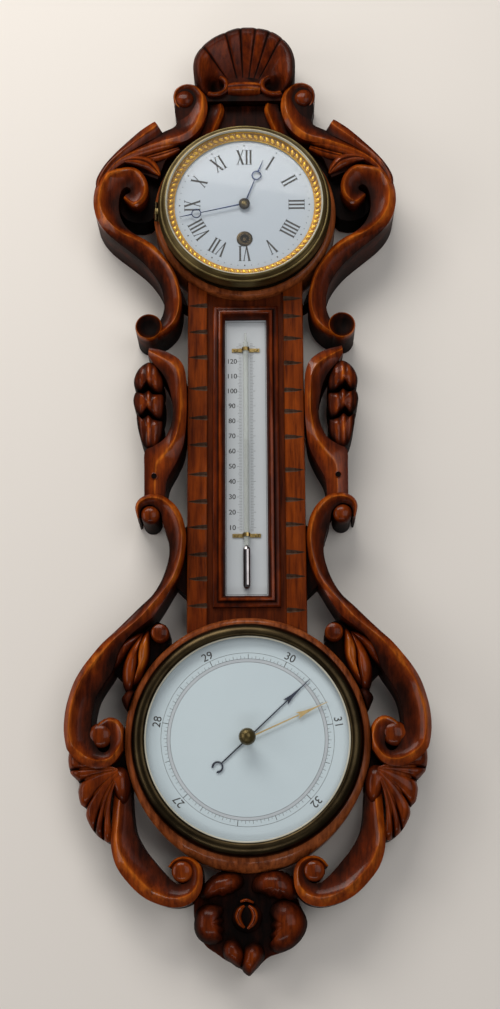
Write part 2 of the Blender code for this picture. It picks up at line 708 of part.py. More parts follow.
def mirrored(obj, name):
    mesh = obj.data.copy()
    mesh.transform(Matrix.Diagonal((-1, 1, 1, 1)))
    return tidy(new_object(name, mesh, None))


def make_wings():
    left = left_wing()
    left.name = "wing_left"
    mirrored(left, "wing_right")


def make_column():
    inner_edge = COLUMN_HALF_WIDTH - RAIL_WIDTH
    rise = RAIL_HEIGHT - FIELD_HEIGHT
    rail = [(inner_edge, FIELD_HEIGHT), (inner_edge + rise, RAIL_HEIGHT),
            (COLUMN_HALF_WIDTH - rise, RAIL_HEIGHT), (COLUMN_HALF_WIDTH, FIELD_HEIGHT), (COLUMN_HALF_WIDTH, 0)]
    outline = [(-x, height) for x, height in reversed(rail)] + rail
    column = standing("column_board", outline, BAROMETER_Z, CLOCK_Z, "column_wood")
    recess = box("recess", -WINDOW_HALF_WIDTH - MOULDING_TONGUE - FIT_GAP,
                 WINDOW_HALF_WIDTH + MOULDING_TONGUE + FIT_GAP,
                 BAROMETER_Z + WINDOW_BOTTOM - MOULDING_TONGUE - FIT_GAP,
                 BAROMETER_Z + WINDOW_TOP + MOULDING_TONGUE + FIT_GAP, RECESS_FLOOR_HEIGHT, WING_HEIGHT)
    column = cut(column, recess,
                 disc("clock_side", CLOCK_SURROUND_RADIUS + FIT_GAP, -OVERRUN, WING_HEIGHT, 0, CLOCK_Z),
                 disc("barometer_side", BAROMETER_SURROUND_RADIUS + FIT_GAP, -OVERRUN, WING_HEIGHT, 0,
                      BAROMETER_Z))
    middle = BAROMETER_Z + (WINDOW_BOTTOM + WINDOW_TOP) / 2
    nicks = None
    for side in (-1, 1):
        for row in range(NICK_COUNT):
            z = middle + (row - (NICK_COUNT - 1) / 2) * NICK_PITCH
            wedge = [(z - NICK_TALL / 2, RAIL_HEIGHT + OVERRUN), (z, RAIL_HEIGHT - NICK_DEPTH),
                     (z + NICK_TALL / 2, RAIL_HEIGHT + OVERRUN)]
            start = inner_edge - FIT_GAP
            nick = sideways("nick", wedge, side * start, side * (start + NICK_WIDTH))
            nicks = joined_loose(nicks, nick) if nicks else nick
    cut(column, nicks).name = "column_board"


def joined_loose(first, second):
    """Two meshes that don't touch, as one object."""
    work = bmesh.new()
    work.from_mesh(first.data)
    work.from_mesh(second.data)
    work.to_mesh(first.data)
    work.free()
    bpy.data.objects.remove(second, do_unlink=True)
    return first


MOULDING_SHARES = ((0.0, 0.30), (0.44, 0.75), (0.68, 1.0), (0.88, 0.93), (1.0, 0.70))


def make_window_moulding():
    """A mitred frame: its tongue drops into the recess and holds the scale down."""
    scale_face = RECESS_FLOOR_HEIGHT + SCALE_THICKNESS + 2 * FIT_GAP
    seat = FIELD_HEIGHT + FIT_GAP
    profile = [(across * MOULDING_WIDTH, scale_face + up * (MOULDING_TOP_HEIGHT - scale_face))
               for across, up in MOULDING_SHARES]
    profile += [(MOULDING_WIDTH, seat), (MOULDING_TONGUE, seat), (MOULDING_TONGUE, scale_face), (0, scale_face)]
    rings = []
    for right, upper in ((1, 1), (-1, 1), (-1, -1), (1, -1)):
        edge_z = BAROMETER_Z + (WINDOW_TOP if upper > 0 else WINDOW_BOTTOM)
        rings.append([at(right * (WINDOW_HALF_WIDTH + out), edge_z + upper * out, height)
                      for out, height in profile])
    loft("window_moulding", rings, "wood", closed=True)



def make_surround(name, bore, radius, z):
    """A turned wooden ring with a rounded outer edge."""
    edge = [(radius - SURROUND_ROUNDING * (1 - math.sin(math.radians(turn))),
             SURROUND_HEIGHT - SURROUND_ROUNDING * (1 - math.cos(math.radians(turn)))) for turn in (0, 30, 60, 90)]
    turned(name, [(bore, SURROUND_HEIGHT), *edge, (radius, 0), (bore, 0)], 0, z, "wood")


def make_shell_crest():
    """A scallop shell above a sunk field that stands on the clock surround."""
    hinge_z = shell_hinge()
    field_bottom = CLOCK_Z + CLOCK_SURROUND_RADIUS * 0.86
    half = CREST_FIELD_HALF_WIDTH
    field = flat("field", [rectangle(-half, half, field_bottom, hinge_z)], -OVERRUN, CREST_FIELD_HEIGHT, "wood")
    lip_depth = CREST_FIELD_HEIGHT / 3
    lip = box("lip", -half * 0.9, half * 0.9, hinge_z - lip_depth, hinge_z + lip_depth,
              -OVERRUN * 1.1, CREST_LIP_HEIGHT)
    crest = joined(field, lip, shell(hinge_z))
    for side in (-1, 1):
        ridge = [(side * half * across, field_bottom + up * (hinge_z - field_bottom), half * 0.09,
                  CREST_FIELD_HEIGHT * 1.25) for across, up in ((0.60, 0.20), (0.50, 0.45), (0.56, 0.72))]
        crest = joined(crest, strip("ridge", smooth(ridge), RIDGE_SECTION_SHARES, 0.0))
    pocket_bottom = KEYHOLE_PLACE - KEYHOLE_RADIUS
    plate = (HANG_PLATE_HALF_WIDTH + FIT_GAP, HANG_PLATE_BOTTOM + FIT_GAP, HANG_PLATE_TOP + FIT_GAP)
    crest = cut(
        crest,
        box("behind_wall", -WING_REACH, WING_REACH, field_bottom - OVERRUN, 2 * WING_REACH, -WING_REACH, 0),
        disc("clock_side", CLOCK_SURROUND_RADIUS + FIT_GAP, -OVERRUN, WING_REACH, 0, CLOCK_Z),
        box("plate_seat", -plate[0], plate[0], -plate[1], plate[2], -OVERRUN, HANG_PLATE_THICKNESS + FIT_GAP),
        box("hook_pocket", -KEYHOLE_RADIUS, KEYHOLE_RADIUS, pocket_bottom, KEYHOLE_SLOT_TOP, 0,
            HANG_PLATE_THICKNESS + HOOK_POCKET_DEPTH))
    for place in HANG_SCREW_PLACES:
        crest = cut(crest, disc("screw_hole", HANG_SCREW_RADIUS + FIT_GAP, 0, HANG_SCREW_LENGTH + FIT_GAP,
                                0, place, steps=12))
    crest.name = "shell_crest"


def shell_hinge():
    return CLOCK_Z + SHELL_HINGE_ABOVE_CLOCK


def shell_reach(share):
    """How far the shell's rim lies from its hinge, at a share of its sweep."""
    return SHELL_SIDE_RADIUS + (SHELL_TOP_RADIUS - SHELL_SIDE_RADIUS) * math.sin(math.pi * share) ** 2


def shell_outline(gap):
    """The shell's silhouette without its scallops, grown by a gap."""
    count = FLUTE_COUNT * STEPS_PER_FLUTE
    rim = [polar(shell_reach(i / count) + gap, 90 + SHELL_SWEEP * (0.5 - i / count), 0, shell_hinge())
           for i in range(count + 1)]
    return rim + [(0, CLOCK_Z)]


SHELL_ROW_SHARES = ((0.20, 0.55), (0.45, 0.86), (0.70, 1.0), (0.88, 0.92), (1.0, 0.70))
SHELL_SWEEP = 200
STEPS_PER_FLUTE = 4


def shell(hinge_z):
    """Flutes that fan out from the hinge, domed towards the viewer, on a flat back."""
    columns = FLUTE_COUNT * STEPS_PER_FLUTE + 1
    verts, faces = [tuple(at(0, hinge_z, SHELL_EDGE_HEIGHT))], []
    for column in range(columns):
        share = column / (columns - 1)
        angle = 90 + SHELL_SWEEP * (0.5 - share)
        reach = shell_reach(share)
        crest_wave = abs(math.sin(math.pi * FLUTE_COUNT * share))
        for out, up in SHELL_ROW_SHARES:
            height = SHELL_EDGE_HEIGHT + up * (SHELL_HEIGHT - SHELL_EDGE_HEIGHT)
            height -= FLUTE_DEPTH * (1 - crest_wave) * out
            scallop = 1 - FLUTE_DEPTH * (1 - crest_wave) / SHELL_SIDE_RADIUS
            x, z = polar(reach * out * scallop, angle, 0, hinge_z)
            verts.append(tuple(at(x, z, height)))
        x, z = polar(reach * scallop, angle, 0, hinge_z)
        verts.append(tuple(at(x, z, -OVERRUN * 1.2)))
    rows = len(SHELL_ROW_SHARES) + 1
    verts.append(tuple(at(0, hinge_z, -OVERRUN * 1.2)))
    last = len(verts) - 1
    for column in range(columns - 1):
        low, high = 1 + column * rows, 1 + (column + 1) * rows
        faces.append((0, low, high))
        for row in range(rows - 1):
            faces.append((low + row, low + row + 1, high + row + 1, high + row))
        faces.append((low + rows - 1, last, high + rows - 1))
    for end in (1, 1 + (columns - 1) * rows):
        faces.append((0, *range(end, end + rows), last))
    mesh = bpy.data.meshes.new("shell")
    mesh.from_pydata(verts, [], faces)
    return tidy(new_object("shell", mesh, "wood"))


# Petals: across and up in shares of the pendant's half width and length, half sizes in petal radii
PETAL_SHARES = ((-0.50, 0.14, 1.02, 0.80), (0.50, 0.14, 1.02, 0.80), (-0.69, 0.45, 0.98, 0.92),
                (0.69, 0.45, 0.98, 0.92), (0.0, 0.74, 1.10, 0.95))
PENDANT_OUTLINE_SHARES = ((-0.80, 0.0), (-0.84, 0.20), (-0.93, 0.30), (-0.96, 0.50), (-0.80, 0.68),
                          (-0.55, 0.80), (-0.25, 0.91), (0.0, 1.0), (0.25, 0.91), (0.55, 0.80),
                          (0.80, 0.68), (0.96, 0.50), (0.93, 0.30), (0.84, 0.20), (0.80, 0.0))


def make_pendant():
    """Five domed petals round a bud, under the barometer surround."""
    top = BAROMETER_Z - BAROMETER_SURROUND_RADIUS * 0.99
    outline = [(x * PENDANT_HALF_WIDTH, top - z * PENDANT_LENGTH) for x, z in PENDANT_OUTLINE_SHARES]
    pendant = flat("ground", [outline], 0, PENDANT_GROUND_HEIGHT, "wood")
    for x, z, wide, tall in PETAL_SHARES:
        deep = PETAL_HEIGHT - PENDANT_GROUND_HEIGHT + FIT_GAP
        pendant = joined(pendant, ball("petal", x * PENDANT_HALF_WIDTH, top - z * PENDANT_LENGTH,
                                       PENDANT_GROUND_HEIGHT - FIT_GAP, wide * PETAL_RADIUS,
                                       tall * PETAL_RADIUS, deep))
    bud_z = top - PENDANT_LENGTH * 0.45
    pendant = joined(pendant, ball("bud", 0, bud_z, PENDANT_GROUND_HEIGHT + FIT_GAP, BUD_RADIUS, BUD_RADIUS,
                                   PETAL_HEIGHT - PENDANT_GROUND_HEIGHT - BUD_RADIUS / 2))
    pendant = cut(pendant,
                  disc("barometer_side", BAROMETER_SURROUND_RADIUS + FIT_GAP, -OVERRUN, WING_REACH, 0,
                       BAROMETER_Z))
    side = PENDANT_HALF_WIDTH * 0.85 - FIT_GAP
    shoulder = top - PENDANT_LENGTH * 0.27
    for left, right in ((-WING_REACH, -side), (side, WING_REACH)):
        pendant = cut(pendant, box("wing_side", left, right, shoulder, BAROMETER_Z, -OVERRUN, WING_REACH))
    pendant.name = "flower_pendant"


# Clock front

BEZEL_SHARES = ((0.0, 1.0), (0.22, 1.0), (0.46, 0.93), (0.82, 0.55), (1.0, 0.44))


def make_clock_bezel():
    """The hinged bezel with its middle knuckle, and the glass and sight ring that it holds."""
    back = SURROUND_HEIGHT + 2 * FIT_GAP + FLANGE_THICKNESS
    lip_back = GLASS_BACK_HEIGHT + GLASS_THICKNESS + FIT_GAP
    profile = profile_ring(BEZEL_SHARES, BEZEL_LIP_RADIUS, BEZEL_RADIUS, back, BEZEL_FRONT_HEIGHT)
    profile += [(BEZEL_RADIUS, back), (BEZEL_BORE, back), (BEZEL_BORE, lip_back), (BEZEL_LIP_RADIUS, lip_back)]
    bezel = turned("clock_bezel", profile, 0, CLOCK_Z, "dark_brass")
    half = KNUCKLE_LENGTH / 2 - FIT_GAP
    bezel = joined(bezel, knuckle(CLOCK_Z - half, CLOCK_Z + half),
                   box("tab", -HINGE_OFFSET, -BEZEL_RADIUS + KNUCKLE_RADIUS, CLOCK_Z - half,
                       CLOCK_Z + half, HINGE_HEIGHT - KNUCKLE_RADIUS / 3, HINGE_HEIGHT + KNUCKLE_RADIUS))
    bezel = cut(bezel, hinge_bore())
    bezel.name = "clock_bezel"
    edge = BEZEL_BORE - FIT_GAP
    glass_front = GLASS_BACK_HEIGHT + GLASS_THICKNESS
    glass = turned("clock_glass", [(0, glass_front), (BEZEL_LIP_RADIUS, glass_front),
                                   (edge, glass_front - GLASS_THICKNESS / 2),
                                   (edge, GLASS_BACK_HEIGHT), (0, GLASS_BACK_HEIGHT)], 0, CLOCK_Z, "glass")
    seat = GLASS_BACK_HEIGHT - FIT_GAP
    slope = seat - SIGHT_BACK_HEIGHT
    sight = turned("sight_ring", [(SIGHT_INNER_RADIUS, SIGHT_BACK_HEIGHT + slope * 0.25),
                                  (edge - slope * 0.3, seat), (edge, seat), (edge, seat - slope * 0.4),
                                  (SIGHT_INNER_RADIUS, SIGHT_BACK_HEIGHT)], 0, CLOCK_Z, "gilt")
    carried("bezel_hinge_axis", at(-HINGE_OFFSET, CLOCK_Z, HINGE_HEIGHT), bezel, glass, sight)


def knuckle(bottom, top):
    outline = [(-HINGE_OFFSET + x, HINGE_HEIGHT + y) for x, y in circle(KNUCKLE_RADIUS, 0, 0, 12)]
    return standing("knuckle", outline, bottom, top)


def hinge_bore():
    outline = [(-HINGE_OFFSET + x, HINGE_HEIGHT + y) for x, y in circle(HINGE_PIN_RADIUS + FIT_GAP, 0, 0, 10)]
    reach = 2 * KNUCKLE_LENGTH
    return standing("hinge_bore", outline, CLOCK_Z - reach, CLOCK_Z + reach)


def make_drum():
    """The drum's wall and flange, with the two fixed knuckles, its back cover and the hinge pin."""
    inner = DRUM_RADIUS - DRUM_WALL
    flange_back = SURROUND_HEIGHT + FIT_GAP
    flange_front = flange_back + FLANGE_THICKNESS
    profile = [(inner, DRUM_FRONT_HEIGHT), (DRUM_RADIUS, DRUM_FRONT_HEIGHT), (DRUM_RADIUS, flange_front),
               (FLANGE_RADIUS, flange_front), (FLANGE_RADIUS, flange_back), (DRUM_RADIUS, flange_back),
               (DRUM_RADIUS, DRUM_BACK_HEIGHT), (inner, DRUM_BACK_HEIGHT)]
    drum = turned("movement_drum", profile, 0, CLOCK_Z, "dark_brass")
    inner_end = KNUCKLE_LENGTH / 2 + FIT_GAP / 2
    outer_end = inner_end + KNUCKLE_LENGTH
    for low, high in ((inner_end, outer_end), (-outer_end, -inner_end)):
        drum = joined(drum, knuckle(CLOCK_Z + low, CLOCK_Z + high),
                      box("leaf", -HINGE_OFFSET, -FLANGE_RADIUS + 2 * KNUCKLE_RADIUS, CLOCK_Z + low,
                          CLOCK_Z + high, HINGE_HEIGHT - KNUCKLE_RADIUS * 0.9, flange_front - FIT_GAP / 2))
    drum = cut(drum, hinge_bore())
    drum.name = "movement_drum"
    pin = [(-HINGE_OFFSET + x, HINGE_HEIGHT + y) for x, y in circle(HINGE_PIN_RADIUS, 0, 0, 10)]
    reach = outer_end + HINGE_PIN_RADIUS
    standing("bezel_hinge_pin", pin, CLOCK_Z - reach, CLOCK_Z + reach, "brass")
    disc("movement_back_cover", inner - FIT_GAP, DRUM_BACK_HEIGHT, DRUM_BACK_HEIGHT + COVER_THICKNESS,
         0, CLOCK_Z, "brass")


def make_dial():
    back = DRUM_FRONT_HEIGHT + FIT_GAP
    front = back + DIAL_THICKNESS
    hole_z = CLOCK_Z - BARREL_OFFSET
    tube = GROMMET_HOLE_RADIUS + FIT_GAP
    dial = ring("clock_dial", DIAL_HOLE_RADIUS, DIAL_RADIUS, back, front, 0, CLOCK_Z, "enamel")
    dial = cut(dial, disc("winding_hole", tube + FIT_GAP, back - OVERRUN, front + OVERRUN, 0, hole_z, steps=24))
    dial.name = "clock_dial"
    lip = front + FIT_GAP
    top = lip + FLANGE_THICKNESS / 2
    profile = [(GROMMET_HOLE_RADIUS, top), (GROMMET_RADIUS * 0.8, top), (GROMMET_RADIUS, lip + FIT_GAP),
               (GROMMET_RADIUS, lip), (tube, lip), (tube, back), (GROMMET_HOLE_RADIUS, back)]
    turned("winding_grommet", profile, 0, hole_z, "brass", steps=24)


def moon_hand(name, angle, length, moon, hub, bore, back, material):
    """A hand with an open moon near its tip, pointing at the angle, clockwise from twelve."""
    heading = 90 - angle
    half = HAND_STEM_WIDTH / 2

    def along(distance, offset):
        turn = math.radians(heading)
        x = distance * math.cos(turn) - offset * math.sin(turn)
        z = distance * math.sin(turn) + offset * math.cos(turn)
        return (x, CLOCK_Z + z)

    front = back + HAND_THICKNESS
    stem_end = moon - MOON_RADIUS + MOON_WIDTH / 2
    root = (bore + hub) / 2
    stem = flat(name, [[along(root, -half), along(stem_end, -half / 2), along(stem_end, half / 2),
                        along(root, half)]], back, front, material)
    tip_start = moon + MOON_RADIUS - MOON_WIDTH / 2
    tip = flat("tip", [[along(tip_start, -half), along(length, -half / 4), along(length, half / 4),
                        along(tip_start, half)]], back + HAND_THICKNESS / 10, front - HAND_THICKNESS / 10)
    moon_x, moon_z = along(moon, 0)
    rim = ring("moon", MOON_RADIUS - MOON_WIDTH, MOON_RADIUS, back - HAND_THICKNESS / 10,
               front + HAND_THICKNESS / 10, moon_x, moon_z, steps=24)
    boss = ring("hub", bore, hub, back - HAND_THICKNESS / 8, front + HAND_THICKNESS / 8, 0, CLOCK_Z, steps=24)
    hand = joined(boss, stem, rim, tip)
    hand.name = name
    hand.data.materials.clear()
    hand.data.materials.append(MATERIALS[material])
    return hand


def pillars(circle_radius, angles, radius, back, front, z):
    made = []
    for angle in angles:
        x, up = polar(circle_radius, angle, 0, z)
        made.append(disc("pillar", radius, back, front, x, up, steps=10))
    return made


def make_plates():
    """The two plates of the movement, with the pillars riveted to the back one."""
    back_top = BACK_PLATE_HEIGHT + PLATE_THICKNESS
    barrel_z = CLOCK_Z - BARREL_OFFSET
    third_x, third_z = third_place()
    plate = disc("back_plate", BACK_PLATE_RADIUS, BACK_PLATE_HEIGHT, back_top, 0, CLOCK_Z, "brass")
    plate = joined(plate, *pillars(PILLAR_CIRCLE, CLOCK_PILLAR_ANGLES, PILLAR_RADIUS,
                                   back_top - FIT_GAP, FRONT_PLATE_HEIGHT - FIT_GAP, CLOCK_Z))
    through = (BACK_PLATE_HEIGHT - OVERRUN, back_top + FIT_GAP)
    plate = cut(plate, disc("hole", PIVOT_RADIUS + FIT_GAP, *through, 0, CLOCK_Z, steps=12),
                disc("hole", PIVOT_RADIUS + FIT_GAP, *through, third_x, third_z, steps=12),
                disc("hole", BARREL_ARBOR_RADIUS + FIT_GAP, *through, 0, barrel_z, steps=16))
    plate.name = "back_plate"
    front_top = FRONT_PLATE_HEIGHT + PLATE_THICKNESS
    front = disc("front_plate", DRUM_RADIUS - DRUM_WALL - FIT_GAP, FRONT_PLATE_HEIGHT, front_top, 0, CLOCK_Z,
                 "brass")
    stud_x, stud_z = minute_wheel_place()
    stud = disc("stud", ARBOR_RADIUS, front_top - FIT_GAP, DRUM_FRONT_HEIGHT - FIT_GAP, stud_x, stud_z, steps=12)
    front = joined(front, stud)
    through = (FRONT_PLATE_HEIGHT - OVERRUN, front_top + OVERRUN)
    front = cut(front, disc("hole", ARBOR_RADIUS + FIT_GAP, *through, 0, CLOCK_Z, steps=12),
                disc("hole", PIVOT_RADIUS + FIT_GAP, *through, third_x, third_z, steps=12),
                disc("hole", BARREL_ARBOR_RADIUS + FIT_GAP, *through, 0, barrel_z, steps=16))
    front.name = "front_plate"


def third_place():
    reach = (CENTRE_WHEEL_TEETH + THIRD_PINION_TEETH) * GOING_MODULE / 2
    return polar(reach, THIRD_ANGLE, 0, CLOCK_Z)


def minute_wheel_place():
    reach = (CANNON_TEETH + MINUTE_WHEEL_TEETH) * MOTION_MODULE / 2
    return polar(reach, MOTION_ANGLE, 0, CLOCK_Z)


def make_barrel():
    """Mainspring barrel with the great wheel on its front rim, its winding arbor, ratchet and click."""
    z = CLOCK_Z - BARREL_OFFSET
    module = 2 * BARREL_OFFSET / (BARREL_TEETH + CENTRE_PINION_TEETH)
    front = BARREL_BACK_HEIGHT + BARREL_DEPTH
    bore = BARREL_ARBOR_RADIUS + FIT_GAP
    teeth = flat("barrel", [gear_outline(BARREL_TEETH, module, 90, 0, z),
                            circle(BARREL_DRUM_RADIUS * 0.8, 0, z)], front - WHEEL_THICKNESS, front, "brass")
    drum = ring("drum", bore, BARREL_DRUM_RADIUS, BARREL_BACK_HEIGHT, front - WHEEL_THICKNESS / 2, 0, z,
                steps=24)
    barrel = joined(drum, teeth)
    barrel.name = "mainspring_barrel"
    carried("barrel_axis", at(0, z, front), barrel)
    square = BARREL_ARBOR_RADIUS * 0.6
    arbor_back = BACK_PLATE_HEIGHT - WHEEL_THICKNESS - 2 * FIT_GAP
    plate_front = FRONT_PLATE_HEIGHT + PLATE_THICKNESS
    arbor = disc("barrel_arbor", BARREL_ARBOR_RADIUS, arbor_back, plate_front + FIT_GAP, 0, z, "steel", steps=16)
    arbor = joined(arbor, box("square", -square, square, z - square, z + square, plate_front,
                              DRUM_FRONT_HEIGHT + DIAL_THICKNESS))
    ratchet = []
    pitch = 360 / RATCHET_TEETH
    for tooth in range(RATCHET_TEETH):
        ratchet.append(polar(RATCHET_RADIUS, tooth * pitch, 0, z))
        ratchet.append(polar(RATCHET_RADIUS * 0.84, (tooth + 0.9) * pitch, 0, z))
    top = BACK_PLATE_HEIGHT - FIT_GAP
    wheel = flat("ratchet", [ratchet], top - WHEEL_THICKNESS, top - FIT_GAP / 2)
    arbor = joined(arbor, wheel)
    arbor.name = "barrel_arbor"
    carried("winding_axis", at(0, z, front), arbor)
    nose = RATCHET_RADIUS + FIT_GAP
    width = RATCHET_RADIUS / 5
    click = flat("ratchet_click", [[(nose, z), (nose + width, z - width), (nose + 5 * width, z - width),
                                    (nose + 6 * width, z + width), (nose + 4 * width, z + 2 * width)]],
                 top - WHEEL_THICKNESS, top, "steel")
    click.name = "ratchet_click"


def make_going_train():
    """Centre arbor with its pinion, the centre wheel, the cannon pinion and the third wheel."""
    barrel_front = BARREL_BACK_HEIGHT + BARREL_DEPTH
    barrel_module = 2 * BARREL_OFFSET / (BARREL_TEETH + CENTRE_PINION_TEETH)
    plate_front = FRONT_PLATE_HEIGHT + PLATE_THICKNESS
    pinion_back = barrel_front - 2 * WHEEL_THICKNESS
    pinion_front = barrel_front + 2 * WHEEL_THICKNESS
    arbor = turned("centre_arbor", [
        (0, MINUTE_HAND_HEIGHT), (PIVOT_RADIUS, MINUTE_HAND_HEIGHT), (PIVOT_RADIUS, plate_front),
        (ARBOR_RADIUS, plate_front), (ARBOR_RADIUS, BACK_PLATE_HEIGHT + PLATE_THICKNESS + FIT_GAP),
        (PIVOT_RADIUS, BACK_PLATE_HEIGHT + PLATE_THICKNESS + FIT_GAP), (PIVOT_RADIUS, BACK_PLATE_HEIGHT),
        (0, BACK_PLATE_HEIGHT)], 0, CLOCK_Z, "steel", steps=12)
    pinion = flat("pinion", [gear_outline(CENTRE_PINION_TEETH, barrel_module,
                                          meshing_angle(90, CENTRE_PINION_TEETH), 0, CLOCK_Z)],
                  pinion_back, pinion_front)
    arbor = joined(arbor, pinion)
    arbor.name = "centre_arbor"
    wheel_back = pinion_front + FIT_GAP
    bore = ARBOR_RADIUS + FIT_GAP
    wheel = flat("centre_wheel", [gear_outline(CENTRE_WHEEL_TEETH, GOING_MODULE, THIRD_ANGLE, 0, CLOCK_Z),
                                  circle(bore, 0, CLOCK_Z, 12)], wheel_back, wheel_back + WHEEL_THICKNESS, "brass")
    cannon_back = plate_front + RUNNING_GAP
    cannon_bore = PIVOT_RADIUS + FIT_GAP
    pipe = ring("pipe", cannon_bore, cannon_bore + PIVOT_RADIUS, cannon_back + WHEEL_THICKNESS,
                MINUTE_HAND_HEIGHT - FIT_GAP, 0, CLOCK_Z, steps=12)
    cannon = flat("cannon_pinion", [gear_outline(CANNON_TEETH, MOTION_MODULE, MOTION_ANGLE, 0, CLOCK_Z),
                                    circle(cannon_bore, 0, CLOCK_Z, 12)],
                  cannon_back, cannon_back + 2 * WHEEL_THICKNESS, "steel")
    cannon = joined(cannon, pipe)
    cannon.name = "cannon_pinion"
    minute = moon_hand("minute_hand", MINUTE_HAND_ANGLE, MINUTE_HAND_LENGTH, MINUTE_MOON_PLACE,
                       MINUTE_HUB_RADIUS, PIVOT_RADIUS + FIT_GAP, MINUTE_HAND_HEIGHT, "blued_steel")
    nut_back = MINUTE_HAND_HEIGHT + HAND_THICKNESS * 9 / 8 + FIT_GAP
    nut = turned("hand_nut", [(0, nut_back + NUT_HEIGHT), (NUT_RADIUS / 2, nut_back + NUT_HEIGHT),
                              (NUT_RADIUS, nut_back + NUT_HEIGHT / 2), (NUT_RADIUS, nut_back), (0, nut_back)],
                 0, CLOCK_Z, "brass", steps=24)
    carried("centre_axis", at(0, CLOCK_Z, plate_front), arbor, wheel, cannon, minute, nut)
    make_third_wheel(wheel_back)


def make_third_wheel(wheel_back):
    x, z = third_place()
    plate_top = BACK_PLATE_HEIGHT + PLATE_THICKNESS
    front = FRONT_PLATE_HEIGHT - RUNNING_GAP
    arbor = turned("third_wheel", [
        (0, FRONT_PLATE_HEIGHT + PLATE_THICKNESS), (PIVOT_RADIUS, FRONT_PLATE_HEIGHT + PLATE_THICKNESS),
        (PIVOT_RADIUS, front), (ARBOR_RADIUS, front), (ARBOR_RADIUS, plate_top + RUNNING_GAP),
        (PIVOT_RADIUS, plate_top + RUNNING_GAP), (PIVOT_RADIUS, BACK_PLATE_HEIGHT), (0, BACK_PLATE_HEIGHT)],
        x, z, "brass", steps=12)
    pinion = flat("pinion", [gear_outline(THIRD_PINION_TEETH, GOING_MODULE,
                                          meshing_angle(THIRD_ANGLE, THIRD_PINION_TEETH), x, z)],
                  wheel_back - WHEEL_THICKNESS, wheel_back + 2 * WHEEL_THICKNESS)
    wheel_place = plate_top + 3 * WHEEL_THICKNESS
    wheel = flat("wheel", [gear_outline(THIRD_WHEEL_TEETH, GOING_MODULE, 0, x, z)], wheel_place,
                 wheel_place + WHEEL_THICKNESS)
    third = joined(arbor, pinion, wheel)
    third.name = "third_wheel"
    carried("third_axis", at(x, z, wheel_place), third)


def make_motion_work():
    """Minute wheel with its pinion, and the hour wheel with its pipe and hand."""
    plate_front = FRONT_PLATE_HEIGHT + PLATE_THICKNESS
    x, z = minute_wheel_place()
    reach = (CANNON_TEETH + MINUTE_WHEEL_TEETH) * MOTION_MODULE / 2
    hour_module = 2 * reach / (MINUTE_PINION_TEETH + HOUR_WHEEL_TEETH)
    bore = ARBOR_RADIUS + FIT_GAP
    wheel_back = plate_front + RUNNING_GAP + WHEEL_THICKNESS / 2
    wheel_front = wheel_back + WHEEL_THICKNESS
    hour_back = plate_front + RUNNING_GAP + 3 * WHEEL_THICKNESS
    hour_front = hour_back + WHEEL_THICKNESS
    wheel = flat("minute_wheel", [
        gear_outline(MINUTE_WHEEL_TEETH, MOTION_MODULE, meshing_angle(MOTION_ANGLE, MINUTE_WHEEL_TEETH), x, z),
        circle(bore, x, z, 12)], wheel_back, wheel_front, "brass")
    pinion = flat("pinion", [
        gear_outline(MINUTE_PINION_TEETH, hour_module, MOTION_ANGLE + 180, x, z),
        circle(bore, x, z, 12)], wheel_front - FIT_GAP, hour_front + FIT_GAP)
    minute_wheel = joined(wheel, pinion)
    minute_wheel.name = "minute_wheel"
    carried("minute_wheel_axis", at(x, z, wheel_back), minute_wheel)
    pipe_bore = PIVOT_RADIUS * 2 + 2 * FIT_GAP
    pipe_radius = pipe_bore + PIVOT_RADIUS
    hour = flat("hour_wheel", [
        gear_outline(HOUR_WHEEL_TEETH, hour_module, meshing_angle(MOTION_ANGLE + 180, HOUR_WHEEL_TEETH),
                     0, CLOCK_Z), circle(pipe_bore, 0, CLOCK_Z, 12)], hour_back, hour_front, "brass")
    pipe = ring("pipe", pipe_bore, pipe_radius, hour_front - FIT_GAP,
                HOUR_HAND_HEIGHT + HAND_THICKNESS + FIT_GAP, 0, CLOCK_Z, steps=12)
    hour = joined(hour, pipe)
    hour.name = "hour_wheel"
    hand = moon_hand("hour_hand", HOUR_HAND_ANGLE, HOUR_HAND_LENGTH, HOUR_MOON_PLACE, HOUR_HUB_RADIUS,
                     pipe_radius + FIT_GAP, HOUR_HAND_HEIGHT, "blued_steel")
    carried("hour_axis", at(0, CLOCK_Z, hour_back), hour, hand)


